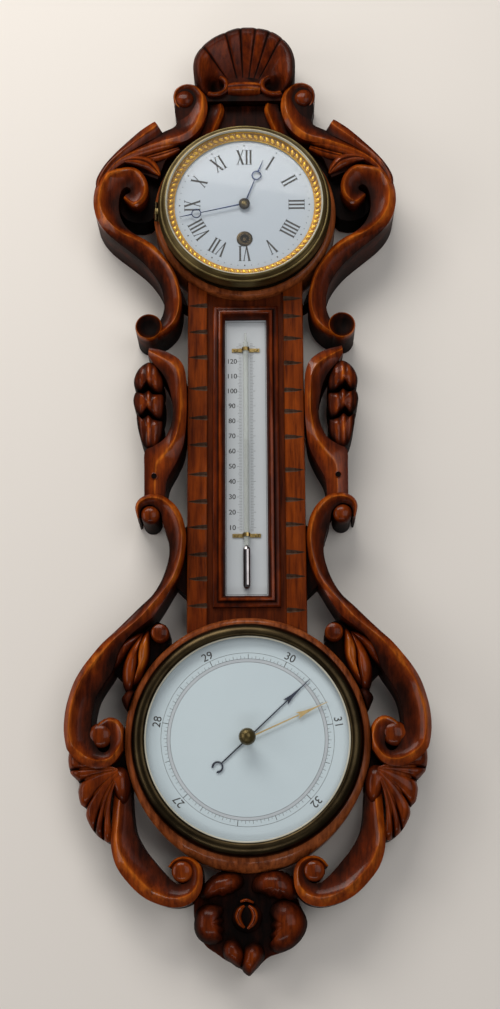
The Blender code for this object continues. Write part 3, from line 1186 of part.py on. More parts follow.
def make_escapement():
    """The platform across the top of the plates, its cock, and the balance that swings under it."""
    bottom = CLOCK_Z + PLATFORM_ABOVE_CENTRE
    top = bottom + COVER_THICKNESS
    back = BACK_PLATE_HEIGHT + PLATE_THICKNESS + FIT_GAP
    front = FRONT_PLATE_HEIGHT - FIT_GAP
    half = PLATFORM_HALF_WIDTH
    middle = (back + front) / 2
    platform = box("escapement_platform", -half, half, bottom, top, back, front, "brass")
    foot = half * 0.3
    cock_top = top + COCK_RISE
    cock = box("cock", -foot, foot, cock_top, cock_top + COVER_THICKNESS, back, middle + foot)
    post = box("post", -foot, foot, top - FIT_GAP, cock_top + FIT_GAP, back + FIT_GAP,
               back + BALANCE_RADIUS * 0.55)
    platform = joined(platform, post, cock)
    pivot = PIVOT_RADIUS + FIT_GAP
    platform = cut(platform, upright("hole", pivot, bottom - OVERRUN, cock_top + OVERRUN, 0, middle))
    platform.name = "escapement_platform"
    rim_bottom = top + COCK_RISE / 3
    rim = upright("rim", BALANCE_RADIUS, rim_bottom, rim_bottom + BALANCE_RIM, 0, middle, 24)
    rim = cut(rim, upright("hole", BALANCE_RADIUS - BALANCE_RIM, rim_bottom - OVERRUN, rim_bottom + OVERRUN,
                           0, middle, 24))
    spoke = box("spoke", -BALANCE_RADIUS + BALANCE_RIM / 2, BALANCE_RADIUS - BALANCE_RIM / 2,
                rim_bottom + FIT_GAP / 3, rim_bottom + BALANCE_RIM - FIT_GAP / 3,
                middle - BALANCE_RIM / 2, middle + BALANCE_RIM / 2)
    staff = upright("staff", PIVOT_RADIUS, bottom, cock_top + COVER_THICKNESS, 0, middle)
    balance = joined(spoke, rim, staff)
    balance.name = "balance_wheel"
    balance.data.materials.append(MATERIALS["brass"])
    carried("balance_axis", at(0, rim_bottom, middle), balance)


def upright(name, radius, bottom, top, x, height, count=12):
    """A cylinder whose axis points up."""
    outline = [(x + across, height + deep) for across, deep in circle(radius, 0, 0, count)]
    return standing(name, outline, bottom, top)


# Barometer

BAROMETER_BEZEL_SHARES = ((0.0, 0.93), (0.14, 1.0), (0.42, 0.96), (0.76, 0.64), (1.0, 0.30))


def make_barometer_case():
    z = BAROMETER_Z
    turned("aneroid_case", [
        (0, CASE_BACK_HEIGHT + CASE_WALL), (CASE_RADIUS - CASE_WALL, CASE_BACK_HEIGHT + CASE_WALL),
        (CASE_RADIUS - CASE_WALL, CASE_FRONT_HEIGHT), (CASE_RADIUS, CASE_FRONT_HEIGHT),
        (CASE_RADIUS, CASE_BACK_HEIGHT), (0, CASE_BACK_HEIGHT)], 0, z, "brass")


def make_barometer_front():
    """Dial, slip ring, glass and bezel, stacked from the case's rim to the front."""
    z = BAROMETER_Z
    dial_back = CASE_FRONT_HEIGHT + FIT_GAP
    dial_front = dial_back + WEATHER_DIAL_THICKNESS
    ring("barometer_dial", HAND_ARBOR_RADIUS + RUNNING_GAP, WEATHER_DIAL_RADIUS, dial_back, dial_front, 0, z,
         "enamel")
    slip_back = dial_front + FIT_GAP
    slip_front = BAROMETER_GLASS_BACK - FIT_GAP
    turned("barometer_slip", [(SLIP_INNER_RADIUS, slip_back + FIT_GAP * 2), (SLIP_RADIUS, slip_front),
                              (SLIP_RADIUS, slip_back), (SLIP_INNER_RADIUS, slip_back)], 0, z, "steel")
    glass_front = BAROMETER_GLASS_BACK + BAROMETER_GLASS_THICKNESS
    ring("barometer_glass", BAROMETER_GLASS_HOLE, SLIP_RADIUS, BAROMETER_GLASS_BACK, glass_front, 0, z,
         "glass")
    back = SURROUND_HEIGHT + FIT_GAP
    lip_back = glass_front + FIT_GAP
    profile = profile_ring(BAROMETER_BEZEL_SHARES, BAROMETER_BEZEL_LIP, BAROMETER_BEZEL_RADIUS, back,
                           BAROMETER_BEZEL_FRONT)
    profile += [(BAROMETER_BEZEL_RADIUS, back), (BAROMETER_BEZEL_BORE, back), (BAROMETER_BEZEL_BORE, lip_back),
                (BAROMETER_BEZEL_LIP, lip_back)]
    turned("barometer_bezel", profile, 0, z, "dark_brass")


def index_hand(name, angle, length, barb, tail, back, bore, material):
    """A thin hand with an arrow barb, pointing at the angle, clockwise from the top."""
    heading = math.radians(90 - angle)

    def along(distance, offset):
        x = distance * math.cos(heading) - offset * math.sin(heading)
        z = distance * math.sin(heading) + offset * math.cos(heading)
        return (x, BAROMETER_Z + z)

    half = INDEX_STEM_WIDTH / 2
    front = back + HAND_THICKNESS
    end = -tail - MOON_WIDTH / 2
    outline = [along(end, -half), along(barb, -half), along(barb - BARB_LENGTH / 4, -BARB_WIDTH / 2),
               along(barb + BARB_LENGTH, -half / 2), along(length, -half / 3), along(length, half / 3),
               along(barb + BARB_LENGTH, half / 2), along(barb - BARB_LENGTH / 4, BARB_WIDTH / 2),
               along(barb, half), along(end, half)]
    hand = flat(name, [outline], back, front, material)
    hub = disc("hub", INDEX_HUB_RADIUS, back - FIT_GAP / 3, front + FIT_GAP / 3, 0, BAROMETER_Z, steps=24)
    hand = joined(hub, hand)
    if tail > INDEX_HUB_RADIUS:
        hand = joined(hand, crescent(along, tail, back, front))
    if bore:
        hand = cut(hand, disc("bore", bore, back - OVERRUN, front + OVERRUN, 0, BAROMETER_Z, steps=12))
    hand.name = name
    hand.data.materials.clear()
    hand.data.materials.append(MATERIALS[material])
    return hand


def crescent(along, tail, back, front):
    """The open moon at a hand's tail, with its horns pointing away from the hub."""
    outer = [(-tail - MOON_RADIUS + MOON_RADIUS * math.cos(turn), MOON_RADIUS * math.sin(turn))
             for turn in (math.radians(degrees) for degrees in range(-140, 141, 20))]
    inner_radius = MOON_RADIUS - MOON_WIDTH
    inner = [(-tail - MOON_RADIUS + inner_radius * math.cos(turn), inner_radius * math.sin(turn))
             for turn in (math.radians(degrees) for degrees in range(136, -137, -17))]
    outline = [along(distance, offset) for distance, offset in outer + inner]
    return flat("crescent", [outline], back + FIT_GAP / 4, front - FIT_GAP / 4)


def make_set_hand():
    """The brass set hand and the knob whose stem passes through the glass."""
    z = BAROMETER_Z
    glass_front = BAROMETER_GLASS_BACK + BAROMETER_GLASS_THICKNESS
    hand = index_hand("set_hand", SET_ANGLE, SET_HAND_LENGTH, SET_BARB_PLACE, 0, SET_HAND_HEIGHT,
                      KNOB_STEM_RADIUS + FIT_GAP, "brass")
    collar_back = glass_front + FIT_GAP
    collar_front = collar_back + KNOB_COLLAR_RADIUS / 3
    middle = collar_front + KNOB_RADIUS
    knob = [(KNOB_RADIUS * math.sin(math.radians(turn)), middle + KNOB_RADIUS * math.cos(math.radians(turn)))
            for turn in range(0, 161, 20)]
    knob[0] = (0, middle + KNOB_RADIUS)
    profile = knob + [(KNOB_COLLAR_RADIUS, collar_front), (KNOB_COLLAR_RADIUS, collar_back),
                      (KNOB_STEM_RADIUS, collar_back), (KNOB_STEM_RADIUS, SET_HAND_HEIGHT - FIT_GAP / 3),
                      (0, SET_HAND_HEIGHT - FIT_GAP / 3)]
    knob = turned("set_hand_knob", profile, 0, z, "dark_brass", steps=18)
    carried("set_hand_axis", at(0, z, SET_HAND_HEIGHT), hand, knob)


def make_pressure_hand():
    """The pressure hand on its arbor, which the chain's pulley turns."""
    z = BAROMETER_Z
    hand = index_hand("pressure_hand", PRESSURE_ANGLE, PRESSURE_HAND_LENGTH, PRESSURE_BARB_PLACE,
                      PRESSURE_TAIL_LENGTH - 2 * MOON_RADIUS, PRESSURE_HAND_HEIGHT,
                      HAND_ARBOR_RADIUS + FIT_GAP, "blued_steel")
    back = BRIDGE_HEIGHT - 2.5 * WHEEL_THICKNESS
    front = PRESSURE_HAND_HEIGHT + HAND_THICKNESS + FIT_GAP
    pulley = profile_ring(((1.0, 1.0), (0.8, 0.5), (1.0, 0.0)), 0, PULLEY_RADIUS, back,
                          back + 2 * WHEEL_THICKNESS)
    arbor = turned("hand_arbor", [(0, front), (HAND_ARBOR_RADIUS, front),
                                  (HAND_ARBOR_RADIUS, back + 2 * WHEEL_THICKNESS), *pulley, (0, back)], 0, z,
                   "steel", steps=16)
    carried("pressure_axis", at(0, z, PRESSURE_HAND_HEIGHT), hand, arbor)


def make_aneroid():
    """Base plate with pillars and bearings, the capsule, the top bridge and the hairspring."""
    z = BAROMETER_Z
    back = CASE_BACK_HEIGHT + CASE_WALL + FIT_GAP
    front = back + BASE_PLATE_THICKNESS
    plate = disc("aneroid_base_plate", BASE_PLATE_RADIUS, back, front, 0, z, "brass")
    plate = joined(plate, *pillars(ANEROID_PILLAR_CIRCLE, ANEROID_PILLAR_ANGLES, ANEROID_PILLAR_RADIUS,
                                   front - FIT_GAP, BRIDGE_HEIGHT - FIT_GAP, z))
    shaft_z = z - REGULATOR_OFFSET
    bearing_top = REGULATOR_HEIGHT + 2 * REGULATOR_RADIUS
    for side in (-1, 1):
        inner = REGULATOR_HALF_LENGTH - BEARING_THICKNESS
        left, right = sorted((side * inner, side * (inner + BEARING_THICKNESS)))
        plate = joined(plate, box("bearing", left, right, shaft_z - BEARING_WIDTH / 2,
                                  shaft_z + BEARING_WIDTH / 2, front - FIT_GAP, bearing_top))
    plate = cut(plate, crosswise("bore", REGULATOR_RADIUS * 0.6 + FIT_GAP, -REGULATOR_HALF_LENGTH - OVERRUN,
                                 REGULATOR_HALF_LENGTH + OVERRUN, shaft_z, REGULATOR_HEIGHT))
    post_top = SPRING_BEND_HEIGHT - SPRING_BEND_RADIUS - FIT_GAP
    half = SPRING_WIDTH / 2
    plate = joined(plate, box("spring_post", -half, half, z + SPRING_BEND_PLACE - SPRING_FOOT_LENGTH,
                              z + SPRING_BEND_PLACE, front - FIT_GAP / 2, post_top))
    plate.name = "aneroid_base_plate"
    capsule_back = front + FIT_GAP
    capsule_front = capsule_back + CAPSULE_THICKNESS
    rim_back = capsule_back + CAPSULE_THICKNESS * 0.4
    rim_front = capsule_back + CAPSULE_THICKNESS * 0.6
    ripples = []
    for wave in range(2 * CAPSULE_RIPPLES + 1):
        radius = CAPSULE_RADIUS * (0.28 + 0.58 * wave / (2 * CAPSULE_RIPPLES))
        ripples.append((radius, capsule_front - CAPSULE_RIPPLE * (wave % 2 + 1)))
    turned("vacuum_capsule", [(0, capsule_front), (STUD_RADIUS * 2, capsule_front), *ripples,
                              (CAPSULE_RADIUS, rim_front), (CAPSULE_RADIUS, rim_back),
                              (CAPSULE_RADIUS * 0.86, capsule_back), (0, capsule_back)], 0,
           z - CAPSULE_OFFSET, "brass", steps=24)
    make_top_bridge()


def crosswise(name, radius, left, right, z, height, count=12):
    """A cylinder whose axis runs across."""
    outline = [(z + up, height + deep) for up, deep in circle(radius, 0, 0, count)]
    return sideways(name, outline, left, right)


def make_top_bridge():
    """Three arms over the pillars, bored for the hand arbor, and the hairspring on them."""
    z = BAROMETER_Z
    front = BRIDGE_HEIGHT + BASE_PLATE_THICKNESS
    outline = []
    half = BRIDGE_ARM_WIDTH / 2
    reach = ANEROID_PILLAR_CIRCLE + half
    for angle in ANEROID_PILLAR_ANGLES:
        turn = math.radians(angle)
        for distance, offset in ((reach - half / 2, -half), (reach, -half / 2), (reach, half / 2),
                                 (reach - half / 2, half), (half / math.tan(math.radians(60)) * 2, half)):
            outline.append((distance * math.cos(turn) - offset * math.sin(turn),
                            z + distance * math.sin(turn) + offset * math.cos(turn)))
    flat("aneroid_bridge", [outline, circle(HAND_ARBOR_RADIUS + FIT_GAP, 0, z, 12)], BRIDGE_HEIGHT, front,
         "brass")
    curve = bpy.data.curves.new("hairspring", "CURVE")
    curve.dimensions = "3D"
    curve.bevel_depth = HAIRSPRING_WIRE
    curve.bevel_resolution = 0
    curve.use_fill_caps = True
    spline = curve.splines.new("POLY")
    per_turn = 14
    total = per_turn * HAIRSPRING_TURNS
    inner = HAIRSPRING_RADIUS / 3
    spline.points.add(total)
    level = front + HAIRSPRING_WIRE + FIT_GAP
    for i in range(total + 1):
        radius = inner + (HAIRSPRING_RADIUS - inner) * i / total
        x, up = polar(radius, 360 * i / per_turn, 0, z)
        spline.points[i].co = (*at(x, up, level), 1)
    baked(new_object("hairspring", curve, "blued_steel"))


def make_levers():
    """C-spring with the capsule's stud and the main lever, and the regulator shaft that they rock."""
    z = BAROMETER_Z
    bend_z = z + SPRING_BEND_PLACE
    stud_z = z - CAPSULE_OFFSET
    thick = SPRING_THICKNESS
    outer = SPRING_BEND_RADIUS
    inner = outer - thick
    turns = [math.radians(degrees) for degrees in range(-90, 91, 30)]
    outline = [(bend_z - SPRING_FOOT_LENGTH, SPRING_BEND_HEIGHT - outer)]
    outline += [(bend_z + outer * math.cos(turn), SPRING_BEND_HEIGHT + outer * math.sin(turn)) for turn in turns]
    leaf_end = stud_z - 2 * STUD_RADIUS
    outline += [(leaf_end, SPRING_BEND_HEIGHT + outer), (leaf_end, SPRING_BEND_HEIGHT + inner)]
    outline += [(bend_z + inner * math.cos(turn), SPRING_BEND_HEIGHT + inner * math.sin(turn))
                for turn in reversed(turns)]
    outline += [(bend_z - SPRING_FOOT_LENGTH, SPRING_BEND_HEIGHT - inner)]
    half = SPRING_WIDTH / 2
    spring = sideways("main_spring", outline, -half, half, "steel")
    leaf_back = SPRING_BEND_HEIGHT + inner
    capsule_front = (CASE_BACK_HEIGHT + CASE_WALL + 2 * FIT_GAP + BASE_PLATE_THICKNESS + CAPSULE_THICKNESS)
    stud = disc("capsule_stud", STUD_RADIUS, capsule_front + 2 * FIT_GAP, leaf_back - FIT_GAP, 0, stud_z,
                "brass", steps=16)
    lever_back = SPRING_BEND_HEIGHT + outer + FIT_GAP
    lever_end = z - REGULATOR_OFFSET - LEVER_WIDTH / 2
    lever = box("main_lever", -LEVER_WIDTH / 2, LEVER_WIDTH / 2, lever_end, bend_z - SPRING_FOOT_LENGTH,
                lever_back, lever_back + LEVER_THICKNESS, "brass")
    link = disc("connecting_link", LINK_RADIUS, REGULATOR_HEIGHT + REGULATOR_RADIUS + 2 * RUNNING_GAP,
                lever_back - FIT_GAP, 0, z - REGULATOR_OFFSET, "steel", steps=10)
    carried("lever_axis", at(0, bend_z, SPRING_BEND_HEIGHT), spring, stud, lever, link)
    make_regulator()


def make_regulator():
    z = BAROMETER_Z - REGULATOR_OFFSET
    end = REGULATOR_HALF_LENGTH - BEARING_THICKNESS - RUNNING_GAP
    shaft = crosswise("regulator", REGULATOR_RADIUS, -end, end, z, REGULATOR_HEIGHT)
    pivots = crosswise("pivots", REGULATOR_RADIUS * 0.6, -REGULATOR_HALF_LENGTH, REGULATOR_HALF_LENGTH, z,
                       REGULATOR_HEIGHT)
    arm_top = BRIDGE_HEIGHT - WHEEL_THICKNESS
    left = REGULATOR_ARM_PLACE - REGULATOR_ARM_WIDTH / 2
    arm = box("arm", left, left + REGULATOR_ARM_WIDTH, z - REGULATOR_ARM_WIDTH / 4,
              z + REGULATOR_ARM_WIDTH / 4, REGULATOR_HEIGHT, arm_top)
    regulator = joined(shaft, pivots, arm)
    regulator.name = "regulator"
    regulator.data.materials.append(MATERIALS["steel"])
    carried("regulator_axis", at(0, z, REGULATOR_HEIGHT), regulator)


# Thermometer

def make_thermometer():
    """Milk-glass scale, glass tube, mercury and the two clips that strap the tube down."""
    bottom = BAROMETER_Z + WINDOW_BOTTOM - MOULDING_TONGUE
    top = BAROMETER_Z + WINDOW_TOP + MOULDING_TONGUE
    half = WINDOW_HALF_WIDTH + MOULDING_TONGUE
    back = RECESS_FLOOR_HEIGHT + FIT_GAP
    front = back + SCALE_THICKNESS
    box("thermometer_scale", -half, half, bottom, top, back, front, "enamel")
    middle = front + FIT_GAP + MERCURY_BULB_RADIUS
    tube_bottom = BAROMETER_Z + TUBE_BOTTOM
    tube_top = BAROMETER_Z + TUBE_TOP
    level = BAROMETER_Z + MERCURY_LEVEL
    tube = upright("thermometer_tube", TUBE_RADIUS, tube_bottom, tube_top, 0, middle)
    tip = upright("tip", TUBE_BORE_RADIUS, tube_top - FIT_GAP, tube_top + TUBE_EYE_LENGTH, 0, middle)
    bore = upright("bore", TUBE_BORE_RADIUS, tube_bottom - OVERRUN, level + FIT_GAP, 0, middle)
    tube = cut(joined(tube, tip), bore)
    tube.name = "thermometer_tube"
    tube.data.materials.append(MATERIALS["glass"])
    bulb_radius = MERCURY_BULB_RADIUS
    bulb_bottom = BAROMETER_Z + MERCURY_BULB_BOTTOM
    neck = tube_bottom - FIT_GAP
    thread = TUBE_BORE_RADIUS - FIT_GAP
    levels = [(bulb_bottom, bulb_radius * 0.35), (bulb_bottom + bulb_radius * 0.4, bulb_radius * 0.8),
              (bulb_bottom + bulb_radius, bulb_radius), (neck - bulb_radius, bulb_radius),
              (neck - bulb_radius * 0.4, bulb_radius * 0.8), (neck, thread), (level, thread)]
    rings = [[at(across, up, middle + deep) for across, deep in circle(radius, 0, 0, 12)]
             for up, radius in levels]
    loft("mercury", rings, "mercury")
    for name, place in (("upper_clip", UPPER_CLIP_PLACE), ("lower_clip", LOWER_CLIP_PLACE)):
        make_clip(name, BAROMETER_Z + place, front + FIT_GAP, middle)


def make_clip(name, z, seat, tube_height):
    """A brass strap bent over the tube, held by two round-headed screws."""
    inner = TUBE_RADIUS + FIT_GAP
    outer = inner + CLIP_THICKNESS
    turns = [math.radians(degrees) for degrees in range(180, -1, -30)]
    over = [(outer * math.cos(turn), tube_height + outer * math.sin(turn)) for turn in turns]
    under = [(inner * math.cos(turn), tube_height + inner * math.sin(turn)) for turn in reversed(turns)]
    half = CLIP_LENGTH / 2
    foot_top = seat + CLIP_THICKNESS
    outline = [(-half, seat), (-half, foot_top), (-outer, foot_top), *over, (outer, foot_top), (half, foot_top),
               (half, seat), (inner, seat), *under, (-inner, seat)]
    clip = standing(name, outline, z - CLIP_TALL / 2, z + CLIP_TALL / 2, "brass")
    for side in (-1, 1):
        x = side * half * 0.72
        head = turned("head", [(0, foot_top + CLIP_THICKNESS), (CLIP_SCREW_RADIUS * 0.7, foot_top + CLIP_THICKNESS),
                               (CLIP_SCREW_RADIUS, foot_top), (CLIP_SCREW_RADIUS, seat + FIT_GAP),
                               (0, seat + FIT_GAP)], x, z, steps=12)
        clip = joined(clip, head)
    clip.name = name


# Hanging plate

def make_hanging_plate():
    half, slot = HANG_PLATE_HALF_WIDTH, KEYHOLE_SLOT_WIDTH / 2
    outline = rectangle(-half, half, -HANG_PLATE_BOTTOM, HANG_PLATE_TOP)
    side = math.degrees(math.asin(slot / KEYHOLE_RADIUS))
    start, end = 90 + side, 450 - side
    key = [polar(KEYHOLE_RADIUS, start + (end - start) * i / 16, 0, KEYHOLE_PLACE) for i in range(17)]
    key += [(slot, KEYHOLE_SLOT_TOP - slot), (slot / 2, KEYHOLE_SLOT_TOP), (-slot / 2, KEYHOLE_SLOT_TOP),
            (-slot, KEYHOLE_SLOT_TOP - slot)]
    plate = flat("hanging_plate", [outline, key], 0, HANG_PLATE_THICKNESS, "brass")
    for index, place in enumerate(HANG_SCREW_PLACES):
        head = HANG_SCREW_HEAD_RADIUS
        shank = HANG_SCREW_RADIUS
        depth = HANG_PLATE_THICKNESS
        plate = cut(plate, turned("countersink", [
            (0, depth + FIT_GAP), (shank + FIT_GAP, depth + FIT_GAP), (shank + FIT_GAP, depth * 0.6 + FIT_GAP),
            (head + FIT_GAP, 2 * FIT_GAP), (head + FIT_GAP, -FIT_GAP), (0, -FIT_GAP)], 0, place, steps=12))
        turned("hanging_screw_%d" % (index + 1), [
            (0, HANG_SCREW_LENGTH), (shank / 3, HANG_SCREW_LENGTH), (shank, HANG_SCREW_LENGTH - 2 * shank),
            (shank, depth * 0.6), (head, FIT_GAP), (0, FIT_GAP)], 0, place, "steel", steps=12)
    plate.name = "hanging_plate"


make_column()
make_window_moulding()
make_surround("clock_surround", DRUM_RADIUS + FIT_GAP, CLOCK_SURROUND_RADIUS, CLOCK_Z)
make_surround("barometer_surround", CASE_RADIUS + FIT_GAP, BAROMETER_SURROUND_RADIUS, BAROMETER_Z)
make_wings()
make_shell_crest()
make_pendant()
make_drum()
make_clock_bezel()
make_dial()
make_plates()
make_barrel()
make_going_train()
make_motion_work()
make_escapement()
make_barometer_case()
make_barometer_front()
make_set_hand()
make_pressure_hand()
make_aneroid()
make_levers()
make_thermometer()
make_hanging_plate()
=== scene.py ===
import math
import bpy
import bmesh
import numpy as np
from mathutils import Matrix, Vector


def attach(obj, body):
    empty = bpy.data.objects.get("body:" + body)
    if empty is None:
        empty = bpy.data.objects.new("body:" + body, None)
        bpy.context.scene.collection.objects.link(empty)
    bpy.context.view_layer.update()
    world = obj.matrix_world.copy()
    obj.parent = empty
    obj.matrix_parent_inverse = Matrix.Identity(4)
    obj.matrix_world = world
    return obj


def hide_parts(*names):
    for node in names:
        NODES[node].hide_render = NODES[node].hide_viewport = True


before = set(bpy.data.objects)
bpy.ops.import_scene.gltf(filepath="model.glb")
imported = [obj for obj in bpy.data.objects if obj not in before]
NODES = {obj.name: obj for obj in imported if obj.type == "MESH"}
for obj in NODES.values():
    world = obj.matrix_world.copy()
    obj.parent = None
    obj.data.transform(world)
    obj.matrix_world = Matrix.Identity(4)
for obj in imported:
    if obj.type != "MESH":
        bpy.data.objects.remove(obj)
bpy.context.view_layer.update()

PI = math.pi

# World heights of the two dial centres, in metres. The sizes below them are in mm: z is above the
# barometer's centre, and a front or a height is a distance from the wall.
CLOCK_Z = -0.125
BAROMETER_Z = -0.702
CLOCK_UP = 577.0
CLOCK_RING = 100.0
BAROMETER_RING = 125.0
RING_FRONT = 46
RING_GAP = 0.3
COLUMN_HALF = 62.2
COLUMN_INSET = 60
RAIL_INNER = 41.2
RAIL_FRONT = 40
FIELD_FRONT = 36
WINDOW_HALF = 22
WINDOW_LOW, WINDOW_HIGH = 150, 456
CLOCK_DIAL_FRONT = 63.87
BAROMETER_DIAL_FRONT = 47.27
THERMOMETER_FRONT = 29.37


# ---------------------------------------------------------------- helpers

def deselect():
    bpy.ops.object.select_all(action="DESELECT")


def pick(obj):
    deselect()
    obj.select_set(True)
    bpy.context.view_layer.objects.active = obj
    return obj


def edit(obj, mode="VERT"):
    pick(obj)
    bpy.ops.object.mode_set(mode="EDIT")
    bpy.ops.mesh.select_mode(type=mode)
    bpy.ops.mesh.select_all(action="SELECT")


def done():
    bpy.ops.object.mode_set(mode="OBJECT")


def baked(obj, smooth=None):
    """Put the object's place into its mesh and shade it."""
    pick(obj)
    bpy.ops.object.transform_apply(location=True, rotation=True, scale=True)
    if smooth:
        bpy.ops.object.shade_smooth_by_angle(angle=math.radians(smooth))
    return obj


def dress(obj, body, material, nodes=(), smooth=None):
    """Finish a piece: its shading, its material, the body it rides on and the solids it stands for."""
    baked(obj, smooth)
    obj.data.materials.clear()
    obj.data.materials.append(MAT[material])
    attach(obj, body)
    if nodes:
        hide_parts(*nodes)
    return obj


def mesh_object(name, verts, faces, tone_and_painted_light=None):
    """A mesh from its own corners in metres, with a painted light value at each: low for painted shade, high for
    painted highlight.
    """
    data = bpy.data.meshes.new(name)
    data.from_pydata([tuple(v) for v in verts], [], [tuple(f) for f in faces])
    data.update()
    if tone_and_painted_light is not None:
        # The painted light and shade ride on the mesh as a per-corner attribute.
        layer = data.attributes.new("tone_and_painted_light", "FLOAT", "POINT")
        layer.data.foreach_set("value", np.asarray(tone_and_painted_light, dtype=np.float32))
    obj = bpy.data.objects.new(name, data)
    bpy.context.scene.collection.objects.link(obj)
    return obj


def normals_out(obj):
    edit(obj)
    bpy.ops.mesh.normals_make_consistent(inside=False)
    done()


def copied(obj):
    """A copy with its own mesh."""
    again = obj.copy()
    again.data = obj.data.copy()
    bpy.context.scene.collection.objects.link(again)
    return again


def bevelled(obj, offset, segments=2):
    edit(obj, "EDGE")
    bpy.ops.mesh.bevel(offset=offset, segments=segments)
    done()
    return obj


def joined(name, pieces):
    deselect()
    for piece in pieces:
        piece.select_set(True)
    bpy.context.view_layer.objects.active = pieces[0]
    bpy.ops.object.join()
    obj = bpy.context.object
    obj.name = name
    return obj


def turned(name, profile, z, steps=128, smooth=40):
    """A profile of (radius, height) in mm, spun round the dial axis at world height z."""
    bpy.ops.mesh.primitive_circle_add(vertices=len(profile), radius=0.001, location=(0, 0, 0))
    obj = bpy.context.object
    obj.name = name
    for vertex, (radius, height) in zip(obj.data.vertices, profile):
        vertex.co = (radius / 1000, -height / 1000, z)
    edit(obj)
    bpy.ops.mesh.spin(steps=steps, angle=2 * PI, center=(0, 0, z), axis=(0, 1, 0))
    bpy.ops.mesh.select_all(action="SELECT")
    bpy.ops.mesh.remove_doubles(threshold=0.00002)
    bpy.ops.mesh.normals_make_consistent(inside=False)
    done()
    baked(obj, smooth)
    return obj


def arc(cx, cy, radius, start, end, steps):
    """Points of a round arc, from one angle in degrees to the other."""
    turns = np.radians(np.linspace(start, end, steps))
    return [(cx + radius * math.cos(t), cy + radius * math.sin(t)) for t in turns]


# ---------------------------------------------------------------- materials

MAT = {}


def node(tree, kind, x=0, y=0, **values):
    """A shader node at (x, y) in the node editor."""
    made = tree.nodes.new(kind)
    made.location = (x, y)
    for key, value in values.items():
        setattr(made, key, value)
    return made


def new_material(name):
    """A bare material, kept under its name in MAT."""
    material = bpy.data.materials.new(name)
    material.use_nodes = True
    tree = material.node_tree
    tree.nodes.clear()
    out = node(tree, "ShaderNodeOutputMaterial", 900, 0)
    shader = node(tree, "ShaderNodeBsdfPrincipled", 600, 0)
    tree.links.new(shader.outputs[0], out.inputs[0])
    MAT[name] = material
    return tree, shader


def ramp(tree, stops, x=0, y=0):
    """Colours at their places from 0 to 1."""
    made = node(tree, "ShaderNodeValToRGB", x, y)
    elements = made.color_ramp.elements
    while len(elements) > 1:
        elements.remove(elements[-1])
    elements[0].position, elements[0].color = stops[0][0], (*stops[0][1], 1)
    for place, colour in stops[1:]:
        element = elements.new(place)
        element.color = (*colour, 1)
    return made


def noise(tree, scale, stretch, detail=4.0, rough=0.55, x=-700, y=0):
    """Clouds fixed to the object, stretched along its axes."""
    coords = node(tree, "ShaderNodeTexCoord", x - 400, y)
    mapping = node(tree, "ShaderNodeMapping", x - 200, y)
    mapping.inputs["Scale"].default_value = stretch
    made = node(tree, "ShaderNodeTexNoise", x, y)
    made.inputs["Scale"].default_value = scale
    made.inputs["Detail"].default_value = detail
    made.inputs["Roughness"].default_value = rough
    tree.links.new(coords.outputs["Object"], mapping.inputs[0])
    tree.links.new(mapping.outputs[0], made.inputs["Vector"])
    return made


def multiplied(tree, factor, a, b, x, y):
    made = node(tree, "ShaderNodeMix", x, y, data_type="RGBA", blend_type="MULTIPLY")
    made.inputs[0].default_value = factor
    tree.links.new(a, made.inputs[6])
    tree.links.new(b, made.inputs[7])
    return made.outputs[2]


def map_range(tree, source, start, end, x, y):
    """Map a value from the span start to the span end."""
    made = node(tree, "ShaderNodeMapRange", x, y)
    for socket, value in zip(("From Min", "From Max", "To Min", "To Max"), (*start, *end)):
        made.inputs[socket].default_value = value
    tree.links.new(source, made.inputs["Value"])
    return made.outputs[0]


def bumpy(tree, shader, source, strength, distance):
    """Small bumps that follow a pattern."""
    made = node(tree, "ShaderNodeBump", 300, -300)
    made.inputs["Strength"].default_value = strength
    made.inputs["Distance"].default_value = distance
    tree.links.new(source, made.inputs["Height"])
    tree.links.new(made.outputs[0], shader.inputs["Normal"])


def clouded(tree, shader, light, dark, scale):
    """Two close colours in soft clouds."""
    cloud = noise(tree, scale, (1, 1, 1), 5)
    colour = ramp(tree, [(0.35, dark), (0.65, light)], -300, 0)
    tree.links.new(cloud.outputs["Fac"], colour.inputs[0])
    tree.links.new(colour.outputs[0], shader.inputs["Base Color"])


